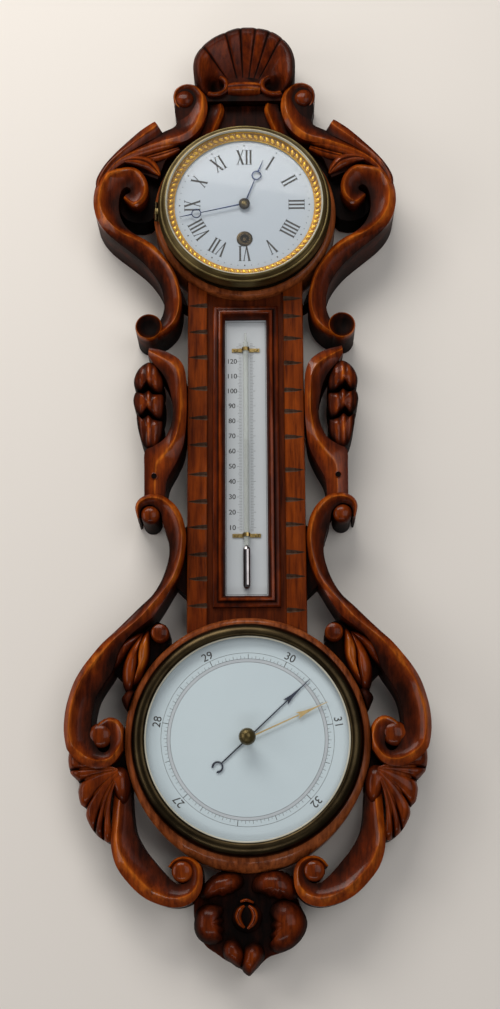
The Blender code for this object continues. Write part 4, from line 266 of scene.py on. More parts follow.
def wood(name, tones_and_painted_light, grain, rough=0.30, coat=0.42, toned=True):
    """Oak coloured from painted light: dark and dull where the value is low, as painted shade, and bright and
    varnished where it is high, as painted highlight; untoned oak takes the value from clouds.
    """
    tree, shader = new_material(name)
    if toned:
        source = node(tree, "ShaderNodeAttribute", -500, 300, attribute_name="tone_and_painted_light").outputs["Fac"]
    else:
        source = noise(tree, 9, (3, 3, 0.5), 3, y=300).outputs["Fac"]
    blotch = noise(tree, 34, (1.6, 1.6, 0.8), 4, 0.6, x=-1100, y=500)
    shift = map_range(tree, blotch.outputs["Fac"], (0.3, 0.7), (-0.20, 0.13) if toned else (-0.1, 0.1), -800, 500)
    spotted = node(tree, "ShaderNodeMath", -350, 400, operation="ADD")
    tree.links.new(source, spotted.inputs[0])
    tree.links.new(shift, spotted.inputs[1])
    # For carved oak this ramp paints shade and highlights from the attribute; for untoned oak it colours the
    # clouds.
    tone_and_painted_light = ramp(tree, tones_and_painted_light, -200, 300)
    tree.links.new(spotted.outputs[0], tone_and_painted_light.inputs[0])
    figure = noise(tree, 26, (9, 9, 0.8), 6, 0.6)
    shade = ramp(tree, grain, -400, 0)
    tree.links.new(figure.outputs["Fac"], shade.inputs[0])
    pores = noise(tree, 120, (8, 8, 0.6), 3, 0.6, y=-300)
    specks = ramp(tree, [(0.30, (0.35, 0.3, 0.3)), (0.44, (1, 1, 1))], -400, -300)
    tree.links.new(pores.outputs["Fac"], specks.inputs[0])
    figured = multiplied(tree, 1.0, tone_and_painted_light.outputs[0], shade.outputs[0], 0, 200)
    colour = multiplied(tree, 0.55, figured, specks.outputs[0], 200, 200)
    tree.links.new(colour, shader.inputs["Base Color"])
    bumpy(tree, shader, pores.outputs["Fac"], 0.18, 0.0006)
    worn = map_range(tree, source, (0.05, 0.7), (0.62, rough), 300, -100)
    tree.links.new(worn, shader.inputs["Roughness"])
    varnish = map_range(tree, source, (0.40, 0.85), (0.0, coat), 300, -500)
    tree.links.new(varnish, shader.inputs["Coat Weight"])
    shader.inputs["Specular IOR Level"].default_value = 0.05
    shader.inputs["Coat Roughness"].default_value = 0.10


def metal(name, light, dark, rough, bump=0.05, metallic=1.0):
    """Worn metal in two close colours, with a fine grain."""
    tree, shader = new_material(name)
    clouded(tree, shader, light, dark, 40)
    grit = noise(tree, 480, (1, 1, 1), 3, y=-300)
    bumpy(tree, shader, grit.outputs["Fac"], bump, 0.0002)
    shader.inputs["Metallic"].default_value = metallic
    shader.inputs["Roughness"].default_value = rough


def plain(name, light, dark, rough, coat=0.0, scale=25):
    """Enamel, ink, or a pale lip with a painted glint."""
    tree, shader = new_material(name)
    clouded(tree, shader, light, dark, scale)
    shader.inputs["Roughness"].default_value = rough
    shader.inputs["Coat Weight"].default_value = coat


# Carved oak colours: near black for painted shade in recesses, the wood's brown in between, orange for painted
# highlights on ridges.
CARVED_SHADE_TO_HIGHLIGHT = [(0.0, (0.0035, 0.0011, 0.0006)), (0.22, (0.020, 0.0036, 0.0010)),
                (0.5, (0.082, 0.0110, 0.0010)), (0.8, (0.215, 0.036, 0.0022)), (1.0, (0.44, 0.110, 0.008))]
GRAIN = [(0.32, (0.45, 0.38, 0.34)), (0.5, (0.9, 0.88, 0.86)), (0.68, (1.25, 1.18, 1.1))]
STREAKS = [(0.30, (0.34, 0.25, 0.2)), (0.46, (0.8, 0.74, 0.7)), (0.60, (1.1, 1.06, 1.0)),
           (0.72, (1.4, 1.35, 1.25))]

wood("carved_oak", CARVED_SHADE_TO_HIGHLIGHT, GRAIN)
wood("turned_oak", [(0.3, (0.18, 0.042, 0.010)), (0.7, (0.36, 0.100, 0.028))], STREAKS,
     rough=0.34, coat=0.8, toned=False)
wood("column_oak", [(0.3, (0.100, 0.0145, 0.0010)), (0.7, (0.215, 0.040, 0.0024))], STREAKS,
     coat=0.16, toned=False)
wood("board_oak", [(0.3, (0.052, 0.0080, 0.0009)), (0.7, (0.105, 0.0175, 0.0016))], STREAKS,
     coat=0.16, toned=False)
wood("nick_oak", [(0.3, (0.060, 0.032, 0.020)), (0.7, (0.100, 0.058, 0.040))], GRAIN,
     rough=0.6, coat=0.0, toned=False)
metal("old_brass", (0.55, 0.40, 0.16), (0.36, 0.25, 0.09), 0.28)
metal("olive_brass", (0.155, 0.115, 0.042), (0.085, 0.062, 0.022), 0.34, metallic=0.8)
metal("deep_brass", (0.062, 0.044, 0.021), (0.032, 0.022, 0.011), 0.32)
metal("gilding", (1.0, 0.60, 0.03), (0.78, 0.42, 0.015), 0.2, bump=0.15, metallic=0.5)
metal("gilt_ground", (0.46, 0.24, 0.012), (0.30, 0.145, 0.006), 0.36, metallic=0.25)
metal("blue_steel", (0.02, 0.035, 0.09), (0.012, 0.018, 0.045), 0.25)
metal("pale_brass", (0.70, 0.50, 0.20), (0.52, 0.35, 0.12), 0.3, metallic=0.5)
metal("black_steel", (0.030, 0.024, 0.018), (0.015, 0.012, 0.010), 0.3)
metal("bright_steel", (0.62, 0.62, 0.62), (0.45, 0.45, 0.45), 0.3)
plain("dial_enamel", (0.60, 0.70, 0.735), (0.57, 0.67, 0.71), 0.25, 0.3, scale=6)
plain("clock_enamel", (0.44, 0.50, 0.56), (0.415, 0.475, 0.535), 0.25, 0.25, scale=6)
plain("plate_enamel", (0.55, 0.58, 0.60), (0.51, 0.545, 0.565), 0.3, 0.2, scale=6)
# The pale cream stands partly for a bezel's lip and partly for a painted reflection at the glass edge.
plain("cream_lip_and_glint", (0.55, 0.53, 0.43), (0.42, 0.40, 0.31), 0.35)
plain("grey_ink", (0.50, 0.54, 0.57), (0.44, 0.48, 0.51), 0.5)
plain("marking_ink", (0.018, 0.016, 0.015), (0.010, 0.009, 0.009), 0.5)
metal("quicksilver", (0.46, 0.43, 0.43), (0.30, 0.27, 0.27), 0.16)


def glass_material(name, colour, alpha):
    """Thin glass: mostly see-through, with its shine."""
    shader = new_material(name)[1]
    shader.inputs["Base Color"].default_value = colour
    shader.inputs["Roughness"].default_value = 0.03
    shader.inputs["Alpha"].default_value = alpha


glass_material("clear_glass", (0.93, 0.96, 0.96, 1), 0.025)
glass_material("tube_glass", (0.62, 0.66, 0.62, 1), 0.42)

NODE_MATERIALS = {
    "carved_wood": "carved_oak", "column_wood": "column_oak", "brass": "old_brass",
    "dark_brass": "olive_brass", "gilt": "gilding", "enamel": "dial_enamel", "glass": "clear_glass",
    "blued_steel": "blue_steel", "steel": "bright_steel", "mercury": "quicksilver"}
FINISHES = {
    "winding_grommet": "deep_brass", "hand_nut": "olive_brass", "thermometer_tube": "tube_glass",
    "clock_dial": "clock_enamel", "thermometer_scale": "plate_enamel", "barrel_arbor": "deep_brass",
    "bezel_hinge_pin": "olive_brass", "movement_drum": "deep_brass"}
PLAIN_TONE = 0.55

for name, obj in NODES.items():
    for slot in obj.material_slots:
        key = slot.material.name.split(".")[0] if slot.material else ""
        if key in NODE_MATERIALS:
            slot.material = MAT[NODE_MATERIALS[key]]
        if name in FINISHES:
            slot.material = MAT[FINISHES[name]]
    if obj.type == "MESH" and "tone_and_painted_light" not in obj.data.attributes:
        layer = obj.data.attributes.new("tone_and_painted_light", "FLOAT", "POINT")
        layer.data.foreach_set("value", np.full(len(obj.data.vertices), PLAIN_TONE, dtype=np.float32))


# ---------------------------------------------------------------- carving

# A strand's rows are: outer edge x and z, inner edge x and z, height, place of the ridge across, and
# depth of the hollow. They are drawn for the left wing.
SCROLLS = {
    "upper": [
        (-132.7, 592.9, -130.8, 597.4, 52, 0.3, 2), (-120.5, 582, -127.3, 598.5, 54, 0.2, 3),
        (-109, 589.5, -125.5, 599.7, 56, 0.18, 4), (-105.7, 603.6, -125, 601.7, 57, 0.18, 4.5),
        (-110.4, 617.9, -126.6, 604.1, 58, 0.18, 5), (-122.4, 628.2, -130, 605.6, 58, 0.2, 6),
        (-141.3, 626.8, -134.3, 602.7, 59, 0.22, 7), (-154.4, 622.8, -136.7, 596.6, 59.5, 0.24, 7.5),
        (-163.1, 606.5, -138.1, 587.5, 60, 0.25, 8), (-165.7, 588.7, -137.7, 576.8, 60, 0.26, 8),
        (-163.3, 572.7, -134.6, 566.7, 60, 0.32, 8), (-157.7, 560.1, -128.8, 556.9, 59.5, 0.42, 7),
        (-149.5, 549.6, -119.4, 548.2, 59, 0.52, 6), (-140.1, 540.9, -108, 541.6, 58.5, 0.64, 5.5),
        (-124.5, 528.2, -96.8, 533.1, 58, 0.76, 5.5), (-109.8, 515.3, -85.4, 519.4, 57, 0.84, 6),
        (-98.3, 501.4, -75.6, 502.9, 56.5, 0.87, 6.5), (-90.9, 487.6, -69.9, 483.9, 56, 0.88, 6.5),
        (-87.6, 472.2, -68.8, 466.8, 55.5, 0.88, 6.5), (-88.3, 458.7, -72.7, 449.9, 55, 0.86, 6),
        (-92.8, 447.7, -81, 438.5, 54.5, 0.82, 5), (-97.6, 443.4, -91.4, 431.6, 54, 0.8, 4),
        (-101.2, 441.5, -103.5, 429.4, 53, 0.8, 3)],
    "middle": [
        (-104.6, 411.5, -103.5, 420.1, 48, 0.5, 1.5), (-98.7, 401.8, -84.8, 414.4, 52, 0.5, 3.5),
        (-88.5, 389.2, -70.4, 404, 55, 0.6, 5), (-82.2, 376.1, -64.1, 389.7, 56, 0.66, 6),
        (-78.6, 360.1, -62.9, 369.1, 56, 0.62, 6.5), (-77.2, 346.5, -62.8, 346.4, 56, 0.58, 6.5),
        (-79.5, 330.7, -64, 326, 56, 0.55, 6), (-86, 316.5, -66.6, 307.3, 55, 0.5, 4.5),
        (-97.4, 308.2, -73.1, 290.9, 53, 0.5, 2.5), (-106.5, 302.4, -81.2, 275.7, 51.8, 0.5, 1.2),
        (-107, 282.7, -83.9, 266.9, 51.2, 0.5, 0.8), (-106.9, 267.3, -84.7, 256, 51, 0.5, 0.8),
        (-106.8, 252.1, -84.7, 247.4, 50.5, 0.5, 0.8)],
    "stem": [
        (-73.3, 703.1, -70.6, 708.6, 45, 0.4, 1.5), (-77.8, 709.7, -72.8, 713.4, 46, 0.35, 2),
        (-79.3, 719.8, -73.2, 718.4, 47, 0.3, 3), (-75.6, 728.7, -70.5, 724.0, 47.5, 0.3, 3),
        (-64.9, 733.9, -63.9, 726.1, 48, 0.3, 3.5), (-52.9, 730.5, -57.1, 722.0, 48.5, 0.3, 3.5),
        (-44.2, 720.3, -56.4, 711.3, 49, 0.25, 4.5), (-41, 705.6, -68.1, 699.4, 49, 0.2, 5),
        (-43.7, 690.3, -73.9, 689.2, 50, 0.2, 5), (-51.4, 675.1, -77.8, 681, 50.5, 0.25, 4.5),
        (-64.9, 662.4, -88.9, 674.1, 52, 0.3, 4), (-85.6, 655.9, -101.4, 666.1, 53.5, 0.35, 3.5),
        (-105.8, 648, -117, 657.6, 54.5, 0.4, 3.5), (-124.7, 639.4, -131.5, 648.1, 55.5, 0.45, 3),
        (-137.5, 630.8, -143.0, 637.2, 56.2, 0.5, 2), (-148.5, 620.6, -151.2, 624.2, 56.6, 0.5, 1)],
    "tip": [
        (-99.5, 685.5, -91, 672.5, 52, 0.35, 2.5), (-105.5, 681.5, -95, 667.5, 53, 0.4, 3),
        (-116, 672.5, -106, 660.5, 55, 0.45, 3), (-130, 658.5, -121, 651, 56.5, 0.5, 3),
        (-144, 643.5, -135, 640.5, 57.5, 0.5, 3), (-154.5, 630, -146.5, 629, 58, 0.5, 3),
        (-162.0, 615, -155.5, 613, 58.5, 0.5, 2.5), (-163.2, 605, -158, 603, 57, 0.5, 2),
        (-161.5, 596, -157, 595, 54, 0.5, 1)],
    "lower": [
        (-113.7, 230.1, -111.4, 230.7, 49, 0.4, 2), (-116.2, 242.2, -110.6, 239, 51, 0.4, 3),
        (-111.7, 250.9, -107, 243.1, 53, 0.4, 3.5), (-100.8, 255.2, -98.4, 244, 55, 0.36, 4),
        (-87.2, 253.3, -89.7, 236.4, 56, 0.28, 5), (-74.9, 244.2, -87, 224.7, 56.5, 0.24, 6),
        (-66.6, 230.1, -83.2, 213.1, 57, 0.22, 6.5), (-63, 213.3, -80.5, 201.6, 57, 0.22, 6.5),
        (-63.7, 196.2, -80.4, 188.4, 57, 0.22, 6.5), (-66.4, 180.7, -84, 173.7, 57, 0.25, 6.5),
        (-71.2, 165.9, -89.4, 160.1, 57.5, 0.3, 6), (-79, 152.4, -97.7, 146.9, 58, 0.38, 5.5),
        (-86.6, 139.2, -110.4, 134.2, 58.5, 0.45, 5), (-96.5, 124.7, -123, 121.2, 59, 0.5, 4.5),
        (-110.1, 113.7, -135.6, 108.8, 59, 0.52, 4.5), (-123, 101.7, -147.7, 97.4, 59.5, 0.56, 5),
        (-131.5, 87, -157.8, 85.4, 60, 0.64, 6), (-137.1, 69.7, -167.6, 72.7, 60, 0.74, 7.5),
        (-146.4, 55.2, -175.4, 59.1, 60, 0.77, 8), (-153.3, 42.6, -180.6, 44.6, 60, 0.77, 8.5),
        (-156.8, 28.1, -184.3, 28.3, 60, 0.78, 8.5), (-158, 13.8, -185.4, 10.4, 60, 0.78, 8.5),
        (-156.9, 3.9, -183, -5.7, 60, 0.77, 8), (-153.8, -4.7, -179.3, -13.5, 60, 0.72, 7),
        (-149.7, -11.1, -167.5, -23.9, 59.5, 0.62, 6), (-144.7, -13.6, -151.9, -29.5, 59, 0.55, 5),
        (-140.8, -12.1, -137, -26.1, 58.5, 0.58, 4.5), (-138.4, -7.6, -127.2, -14.6, 58, 0.66, 4.5),
        (-138.1, -1.4, -122.9, -3.6, 57, 0.76, 4), (-140.2, 3.2, -123.7, 8.1, 56, 0.8, 4),
        (-144.4, 5.9, -129.5, 18.4, 55, 0.82, 3.5), (-149, 5.5, -139.7, 22.1, 54, 0.82, 3),
        (-151.6, 2.7, -149.8, 17.3, 53, 0.8, 2.5), (-152.7, 1.3, -153.9, 10.4, 52, 0.8, 2)],
    "foot": [
        (-119.1, -42.9, -133.3, -42, 43, 0.5, 2), (-117.4, -56.5, -134.2, -56.4, 48, 0.6, 4),
        (-115.9, -75.1, -135.5, -81.6, 52, 0.68, 5.5), (-112.7, -91.8, -136.4, -104, 54, 0.74, 6.5),
        (-104, -107.6, -130.8, -124.9, 56, 0.72, 7), (-93, -121.3, -118.5, -141.8, 57, 0.7, 7.5),
        (-83, -132.5, -103.4, -155.4, 58, 0.68, 7.5), (-76.1, -138.9, -86.4, -163.0, 58, 0.66, 7),
        (-69.8, -142.8, -70.2, -165.5, 57.5, 0.62, 6), (-63, -142.7, -56.5, -161.5, 57, 0.6, 5.5),
        (-58.2, -139.1, -47.5, -151.5, 56.5, 0.62, 5), (-56.2, -133.5, -44.8, -138.3, 56, 0.64, 4.5),
        (-57.2, -127.4, -46.8, -125.8, 55.5, 0.66, 4), (-61.8, -123.2, -54.8, -118.2, 54.5, 0.7, 3.5),
        (-67, -122.4, -65.5, -116.2, 53.5, 0.7, 3), (-72, -124.2, -74.0, -119.5, 52, 0.7, 2.5),
        (-75.5, -128, -79.5, -126, 50, 0.7, 2)]}

# A leaf's rows are: x, z, half width and height.
CREST_LEAVES = [
    [(-62.6, 668.2, 2.0, 46), (-80.5, 659.7, 4.5, 50), (-100.4, 652.4, 5.5, 53), (-119.1, 645, 4.5, 54),
     (-134.4, 637.3, 2, 55)],
    [(-131.8, 636.6, 2, 54), (-120.5, 637.8, 5.5, 55), (-107.4, 634.9, 7.0, 54), (-98.6, 628.2, 5, 50),
     (-93.6, 622.0, 1.2, 47)],
    [(-72.6, 655.2, 2.5, 45), (-86.5, 648.7, 5.0, 48), (-100.4, 643.4, 5.0, 50), (-112, 641, 2, 50)]]

# The sunk ground between the strands: outline, height and painted light, whose low values paint the ground dark
# as shade.
GROUNDS = [
    ([(-78, 677), (-90, 674), (-104, 676), (-131, 651), (-154, 622), (-162, 604), (-140, 604), (-128, 628),
      (-110, 624), (-96, 618), (-88, 640), (-70, 662), (-45, 690), (-45, 722), (-58, 731), (-70, 728),
      (-77, 716), (-77.5, 700), (-74.5, 686)], 45, 0.16),
    ([(-100, 650), (-112, 622), (-138, 600), (-139, 590), (-136, 581), (-130, 575), (-122, 571.5), (-113, 571),
      (-105, 573), (-98, 578), (-92, 586), (-85, 600), (-70, 660)], 33, 0.06),
    ([(-72, 520), (-84, 520), (-76, 480), (-62.2, 472), (-62.2, 530)], 33, 0.1),
    ([(-62.2, 225), (-80, 215), (-78, 165), (-62.2, 150)], 33, 0.1),
    ([(-80, 97), (-80, 110), (-84, 119), (-93, 123), (-104, 114), (-134, 82), (-136, 70), (-126, 60), (-124, 42),
      (-119, 36), (-108, 61), (-94, 85)], 36, 0.06),
    ([(-154, 13), (-152, -2), (-140, -14), (-134, -40), (-118, -50), (-121, -10)], 36, 0.1)]

# The bud, the husk, the fan leaf, the shell and the pendant are closed or open outlines of x and z.
BUD_LEAVES = [
    [(-138, 71), (-137.5, 84), (-132.5, 95), (-124, 103), (-114, 109), (-106, 110), (-113, 101), (-121, 91),
     (-127.5, 81), (-133, 74)],
    [(-106, 111), (-116, 101), (-123.5, 87), (-127.5, 73), (-127.8, 61), (-124.5, 50), (-119, 47.5), (-114.5, 60),
     (-112, 76), (-111, 92)],
    [(-101, 113), (-109.5, 103), (-112.5, 88), (-112.8, 72), (-117, 54), (-110, 60), (-104, 72), (-100, 84),
     (-99.5, 98)],
    [(-121, 51), (-128, 43), (-126.5, 36), (-121.5, 29), (-117, 36), (-112.5, 44), (-115, 50)]]
HUSK = [
    ([(-108, 402.5), (-115, 396), (-119.3, 386), (-119.3, 378), (-117, 373), (-113, 371.5), (-109.5, 375),
      (-106, 379), (-102.5, 376), (-98, 372), (-93, 369.5), (-89, 371.5), (-88, 380), (-91, 391), (-96, 400),
      (-102, 404)], 53),
    ([(-110, 369), (-117, 371), (-120, 363), (-118.5, 353), (-115, 346.5), (-111, 345), (-108, 348.5),
      (-105, 351), (-101, 347), (-95, 341.5), (-90.5, 340.5), (-88, 346), (-87, 357), (-88.5, 367), (-98, 368),
      (-104, 372.5)], 51),
    ([(-110, 341), (-116, 345), (-115.5, 335), (-113.5, 325), (-110.5, 315), (-106, 308.5), (-100, 307),
      (-93.5, 312), (-89, 322), (-88, 335), (-89.5, 338), (-98, 340), (-104, 345)], 49)]

FAN_RIM = [(-180.7, -11.8), (-180.9, -21.3), (-178.5, -33.1), (-170.0, -42.6), (-170.3, -52.0), (-167.7, -63.7),
           (-162.4, -68.4), (-161.8, -76.6), (-156.1, -88.2), (-148.9, -96.4), (-139.4, -101.5), (-134.7, -97.6)]
SHELL_RIM = [(-35.3, 717.6), (-47.4, 721.6), (-54.4, 734.5), (-56.9, 750.1), (-54.9, 764.5), (-47.5, 776.9),
             (-35.3, 787.7), (-21.3, 795.3), (-6.3, 800.4), (5.9, 800.8), (14.3, 800.2), (30.2, 796.0),
             (43.1, 787.1), (52.3, 775.5), (56.8, 761.9), (57.5, 748.4), (56.0, 736.1), (48.0, 724.9),
             (33.2, 718.5)]
SHELL_LINES = [(-46.5, 775.7), (-20.3, 794.0), (-3.0, 800.4), (14.2, 800.2), (30.2, 796.0), (44.0, 786.0)]
PENDANT_RIM = [(-53.1, -155.7), (-54.6, -168.7), (-53.0, -180.9), (-49.0, -192.3), (-42.0, -202.7),
               (-31.8, -209.8), (-24.0, -215.2), (-13.9, -220.5), (-7.7, -224.5), (0.1, -228.4), (6.3, -225.5),
               (12.6, -219.0), (19.7, -213.2), (28.3, -210.2), (38.5, -206.5), (48.0, -198.2), (53.2, -187.6),
               (54.3, -178.5), (53.4, -169.4), (50.0, -160.2), (46.0, -148.5), (38, -136), (28, -129), (12, -127),
               (-4, -126.5), (-18, -128), (-32, -132), (-44, -142)]
PETALS = [
    [(-49, -154), (-46, -145), (-39, -137.5), (-28, -133), (-15, -131.5), (-6.5, -134.5), (-4, -141), (-7, -147),
     (-12, -149.5), (-16, -152.5), (-20, -153), (-25, -155.5), (-29, -154), (-35, -156), (-43, -158)],
    [(2.5, -146), (5, -137.5), (13, -131.5), (26, -129.5), (37, -131.5), (45.5, -138), (50.5, -148), (49.5, -156),
     (42, -159.5), (36, -157.5), (30, -159), (25, -156.5), (20, -157), (16, -153.5), (10, -152.5), (5, -151)],
    [(-54, -179), (-51.5, -168), (-44, -162), (-34, -161.5), (-26, -164.5), (-24.5, -170), (-27, -173.5),
     (-24, -178), (-26.5, -182.5), (-23.5, -187.5), (-26, -191.5), (-25, -197), (-31, -200.5), (-41, -200.5),
     (-49, -196), (-53.5, -188)],
    [(21, -167), (26, -160), (36, -157.5), (47, -161), (54, -169), (58, -180), (55.5, -190.5), (49, -199.5),
     (40, -206), (29, -209), (21.5, -206), (19.5, -201.5), (22.5, -197.5), (20.5, -193), (23.5, -188), (21, -183),
     (23.5, -178), (20.5, -172)],
    [(-25.5, -201), (-20, -195.5), (-12, -196), (-6.5, -203), (-3.5, -211), (-5, -218), (-9, -223.5), (-17, -219),
     (-25, -212)],
    [(-4, -203), (4, -198), (12, -201), (16, -208.5), (14.5, -216), (9, -222.5), (3.5, -228.5), (0, -231),
     (-5.5, -227), (-8, -220), (-6, -211)]]
BUD_LIPS = [
    [(-4, -164, 1.2, 44), (-8.5, -168, 2.8, 47), (-10.5, -174.5, 3.3, 48), (-8, -181, 2.6, 47),
     (-4, -185, 1.2, 45)],
    [(0, -164, 1.2, 44), (4.5, -168, 2.8, 47), (6.5, -174.5, 3.3, 48), (4, -181, 2.8, 47), (-1, -186, 1.2, 45)],
    [(-8, -160, 1, 43), (-2, -158.5, 1.6, 45), (5, -161, 1, 43)]]
FIELD_STRAND = [(24.0, 711.5, 38.0, 712.0, 4), (22.5, 705.6, 39.0, 704.6, 5), (23.5, 700.0, 41.0, 698.5, 5),
                (26.5, 692.0, 44.0, 688.5, 5), (30.5, 682.0, 48.0, 677.0, 5), (35.5, 671.0, 52.0, 665.0, 4)]

CUP = np.array([-103.8, 441.6])     # the open curl at the foot of the upper strand
CUP_HOLLOW = 13.3
STRAND_STEP = 1.8
BACK_STEP = 0.05                    # between the backs of two strands, so that no two faces coincide
CREST_BACK = 3.3                    # off the wall, so that the hanging plate shows from behind


def eased(a, b, x):
    """0 up to a, 1 from b on, and smooth between."""
    t = np.clip((x - a) / (b - a), 0, 1)
    return t * t * (3 - 2 * t)


def dense(rows, step):
    """A smooth curve through the rows, with a station about every step mm."""
    rows = np.asarray(rows, float)
    out = []
    for k in range(len(rows) - 1):
        p0, p1, p2, p3 = rows[max(k - 1, 0)], rows[k], rows[k + 1], rows[min(k + 2, len(rows) - 1)]
        length = float(np.linalg.norm((p2 - p1)[:2]))
        count = max(2, int(round(length / step)))
        for t in np.arange(count) / count:
            out.append(0.5 * (2 * p1 + (p2 - p0) * t + (2 * p0 - 5 * p1 + 4 * p2 - p3) * t ** 2
                              + (3 * p1 - p0 - 3 * p2 + p3) * t ** 3))
    out.append(rows[-1])
    return np.array(out)


def ringed(rows, size):
    """Faces of a run of closed rings of equal size, capped at both ends."""
    faces = [(r * size + k, r * size + (k + 1) % size, (r + 1) * size + (k + 1) % size, (r + 1) * size + k)
             for r in range(rows - 1) for k in range(size)]
    faces.append(tuple(reversed(range(size))))
    faces.append(tuple((rows - 1) * size + k for k in range(size)))
    return faces


def stacked(rows, tones_and_painted_light):
    """Rings of corners with their painted light values, as one closed part."""
    return np.vstack(rows), ringed(len(rows), len(rows[0])), np.concatenate(tones_and_painted_light)


def scroll_band(rows):
    """A strand with a rolled ridge and a hollow beside it, the ridge painted as a highlight and the hollow in
    shade.
    """
    stations = dense(rows, STRAND_STEP)
    near, far = np.linspace(1, 0, 8), np.linspace(0, 1, 9)[1:]
    sections, tones_and_painted_light = [], []
    for ox, oz, ix, iz, top, ridge, depth in stations:
        outer, inner = np.array([ox, oz]), np.array([ix, iz])
        hollow_a = eased(0.35, 0.62, ridge)
        hollow_b = eased(0.35, 0.62, 1 - ridge)
        shares, heights, shades = [], [], []
        for side, ts, hollow in ((-1, near, hollow_a), (1, far, hollow_b)):
            for t in ts:
                share = ridge * (1 - t) if side < 0 else ridge + (1 - ridge) * t
                cove = depth * math.sin(PI / 2 * t) ** 0.75
                slope = depth * 0.75 * t ** 1.2
                drop = hollow * cove + (1 - hollow) * slope
                # Painted shade deepens into the hollow; the crest of the ridge is a painted highlight.
                shade = hollow * (0.86 - 0.66 * t ** 0.7) + (1 - hollow) * (0.95 - 0.2 * t) if t else 1.0
                shares.append(share)
                heights.append(top - drop)
                shades.append(shade)
        shares, heights = np.array(shares), np.array(heights)
        points = outer[None] * (1 - shares[:, None]) + inner[None] * shares[:, None]
        line = [(*p, h) for p, h in zip(points, heights)]
        left = [(outer[0], outer[1], heights[0] * k) for k in (0.0, 0.35, 0.75)]
        right = [(inner[0], inner[1], heights[-1] * k) for k in (0.75, 0.35, 0.0)]
        sections.append(left + line + right)
        # Its side walls are painted darker towards their feet, as shade.
        tones_and_painted_light.append([0.18, 0.24, 0.34] + shades + [0.30, 0.18, 0.10])
    return stacked(sections, tones_and_painted_light)


def leaf(rows, groove, belly, foot=20):
    """A leaf with a round belly and a line of painted shade down its middle."""
    stations = dense(rows, STRAND_STEP)
    across = np.linspace(-1, 1, 15)
    tangents = np.gradient(stations[:, :2], axis=0)
    tangents /= np.linalg.norm(tangents, axis=1)[:, None]
    sections, tones_and_painted_light = [], []
    for (x, z, half, top), (tx, tz) in zip(stations, tangents):
        heights = top - belly * half * across ** 2 - groove * half * np.exp(-(across / 0.16) ** 2)
        # Painted shade darkens the edges and the middle line; the sides below are darker still.
        shades = 0.9 - 0.45 * across ** 2 - 0.6 * np.exp(-(across / 0.16) ** 2)
        points = [(x - tz * half * u, z + tx * half * u) for u in across]
        line = [(*p, h) for p, h in zip(points, heights)]
        bottom = max(top - foot, 1.0)
        left = [(*points[0], bottom), (*points[0], (bottom + heights[0]) / 2)]
        right = [(*points[-1], (bottom + heights[-1]) / 2), (*points[-1], bottom)]
        sections.append(left + line + right)
        tones_and_painted_light.append([0.02, 0.15] + list(shades) + [0.15, 0.02])
    return stacked(sections, tones_and_painted_light)


def button(x, z, profile, around=48):
    """A round boss: (radius, height, painted light) rows from the rim to the middle; its foot is painted black as
    shade.
    """
    rows = [(profile[0][0], 0.0, 0.0)] + list(profile)
    verts, tones_and_painted_light = [], []
    for radius, height, tone_and_painted_light in rows:
        for k in range(around):
            turn = 2 * PI * k / around
            verts.append((x + radius * math.cos(turn), z + radius * math.sin(turn), height))
            tones_and_painted_light.append(tone_and_painted_light)
    return np.array(verts), ringed(len(rows), around), np.array(tones_and_painted_light)


def slab(points, top, tone_and_painted_light):
    """A flat ground over a closed outline, its top painted with the given shade and its foot black."""
    verts = [(x, z, 0.0) for x, z in points] + [(x, z, top) for x, z in points]
    n = len(points)
    faces = [(k, (k + 1) % n, n + (k + 1) % n, n + k) for k in range(n)]
    faces += [tuple(reversed(range(n))), tuple(range(n, 2 * n))]
    return np.array(verts, float), faces, np.array([0.0] * n + [tone_and_painted_light] * n)


def outline_dense(points, step, closed=True):
    """A smooth run through the points of an outline."""
    points = np.asarray(points, float)
    rows = np.vstack([points[-1:], points, points[:2]]) if closed else points
    run = dense(rows, step)
    if not closed:
        return run
    start = int(np.argmin(np.linalg.norm(run - points[0], axis=1)))
    lengths = np.linalg.norm(run - points[0], axis=1)
    later = [k for k in range(start + 5, len(run)) if lengths[k] < step]
    return run[start:later[0]] if later else run[start:]


def cushion(points, rim, top, foot=0.0, centre=None, tone_and_painted_light=(0.2, 0.9, 0.8), ribs=None, step=1.6):
    """A rounded pad over a closed outline; ribs are (place across, pitch, depth). Its painted light runs from the
    edge through the middle to a highlight on top.
    """
    edge = outline_dense(points, step)
    middle = np.array(centre if centre is not None else edge.mean(axis=0))
    rows = [np.column_stack([edge, np.full(len(edge), foot)]),
            np.column_stack([edge, np.full(len(edge), foot + (rim - foot) * 0.6)])]
    tones_and_painted_light = [np.zeros(len(edge)), np.full(len(edge), tone_and_painted_light[0] * 0.5)]
    for share in (1.0, 0.985, 0.95, 0.88, 0.78, 0.66, 0.52, 0.36, 0.2, 0.08):
        dome = math.sqrt(max(0.0, 1 - share ** 2.4))
        place = middle + (edge - middle) * share
        height = np.full(len(edge), rim + (top - rim) * dome)
        shade = np.full(len(edge), tone_and_painted_light[0] + (tone_and_painted_light[1] - tone_and_painted_light[0]) * min(1.0, dome / 0.85) ** 1.6
                        + (tone_and_painted_light[2] - tone_and_painted_light[1]) * max(0.0, dome - 0.85) * 6.6)
        if ribs:
            wave = 0.5 - 0.5 * np.cos(2 * PI * (place[:, 0] - ribs[0]) / ribs[1])
            height = height - ribs[2] * wave * dome
            # Painted shade in the rib grooves.
            shade = shade * (1 - 0.5 * wave)
        rows.append(np.column_stack([place, height]))
        tones_and_painted_light.append(np.clip(shade, 0, 1))
    return stacked(rows, tones_and_painted_light)


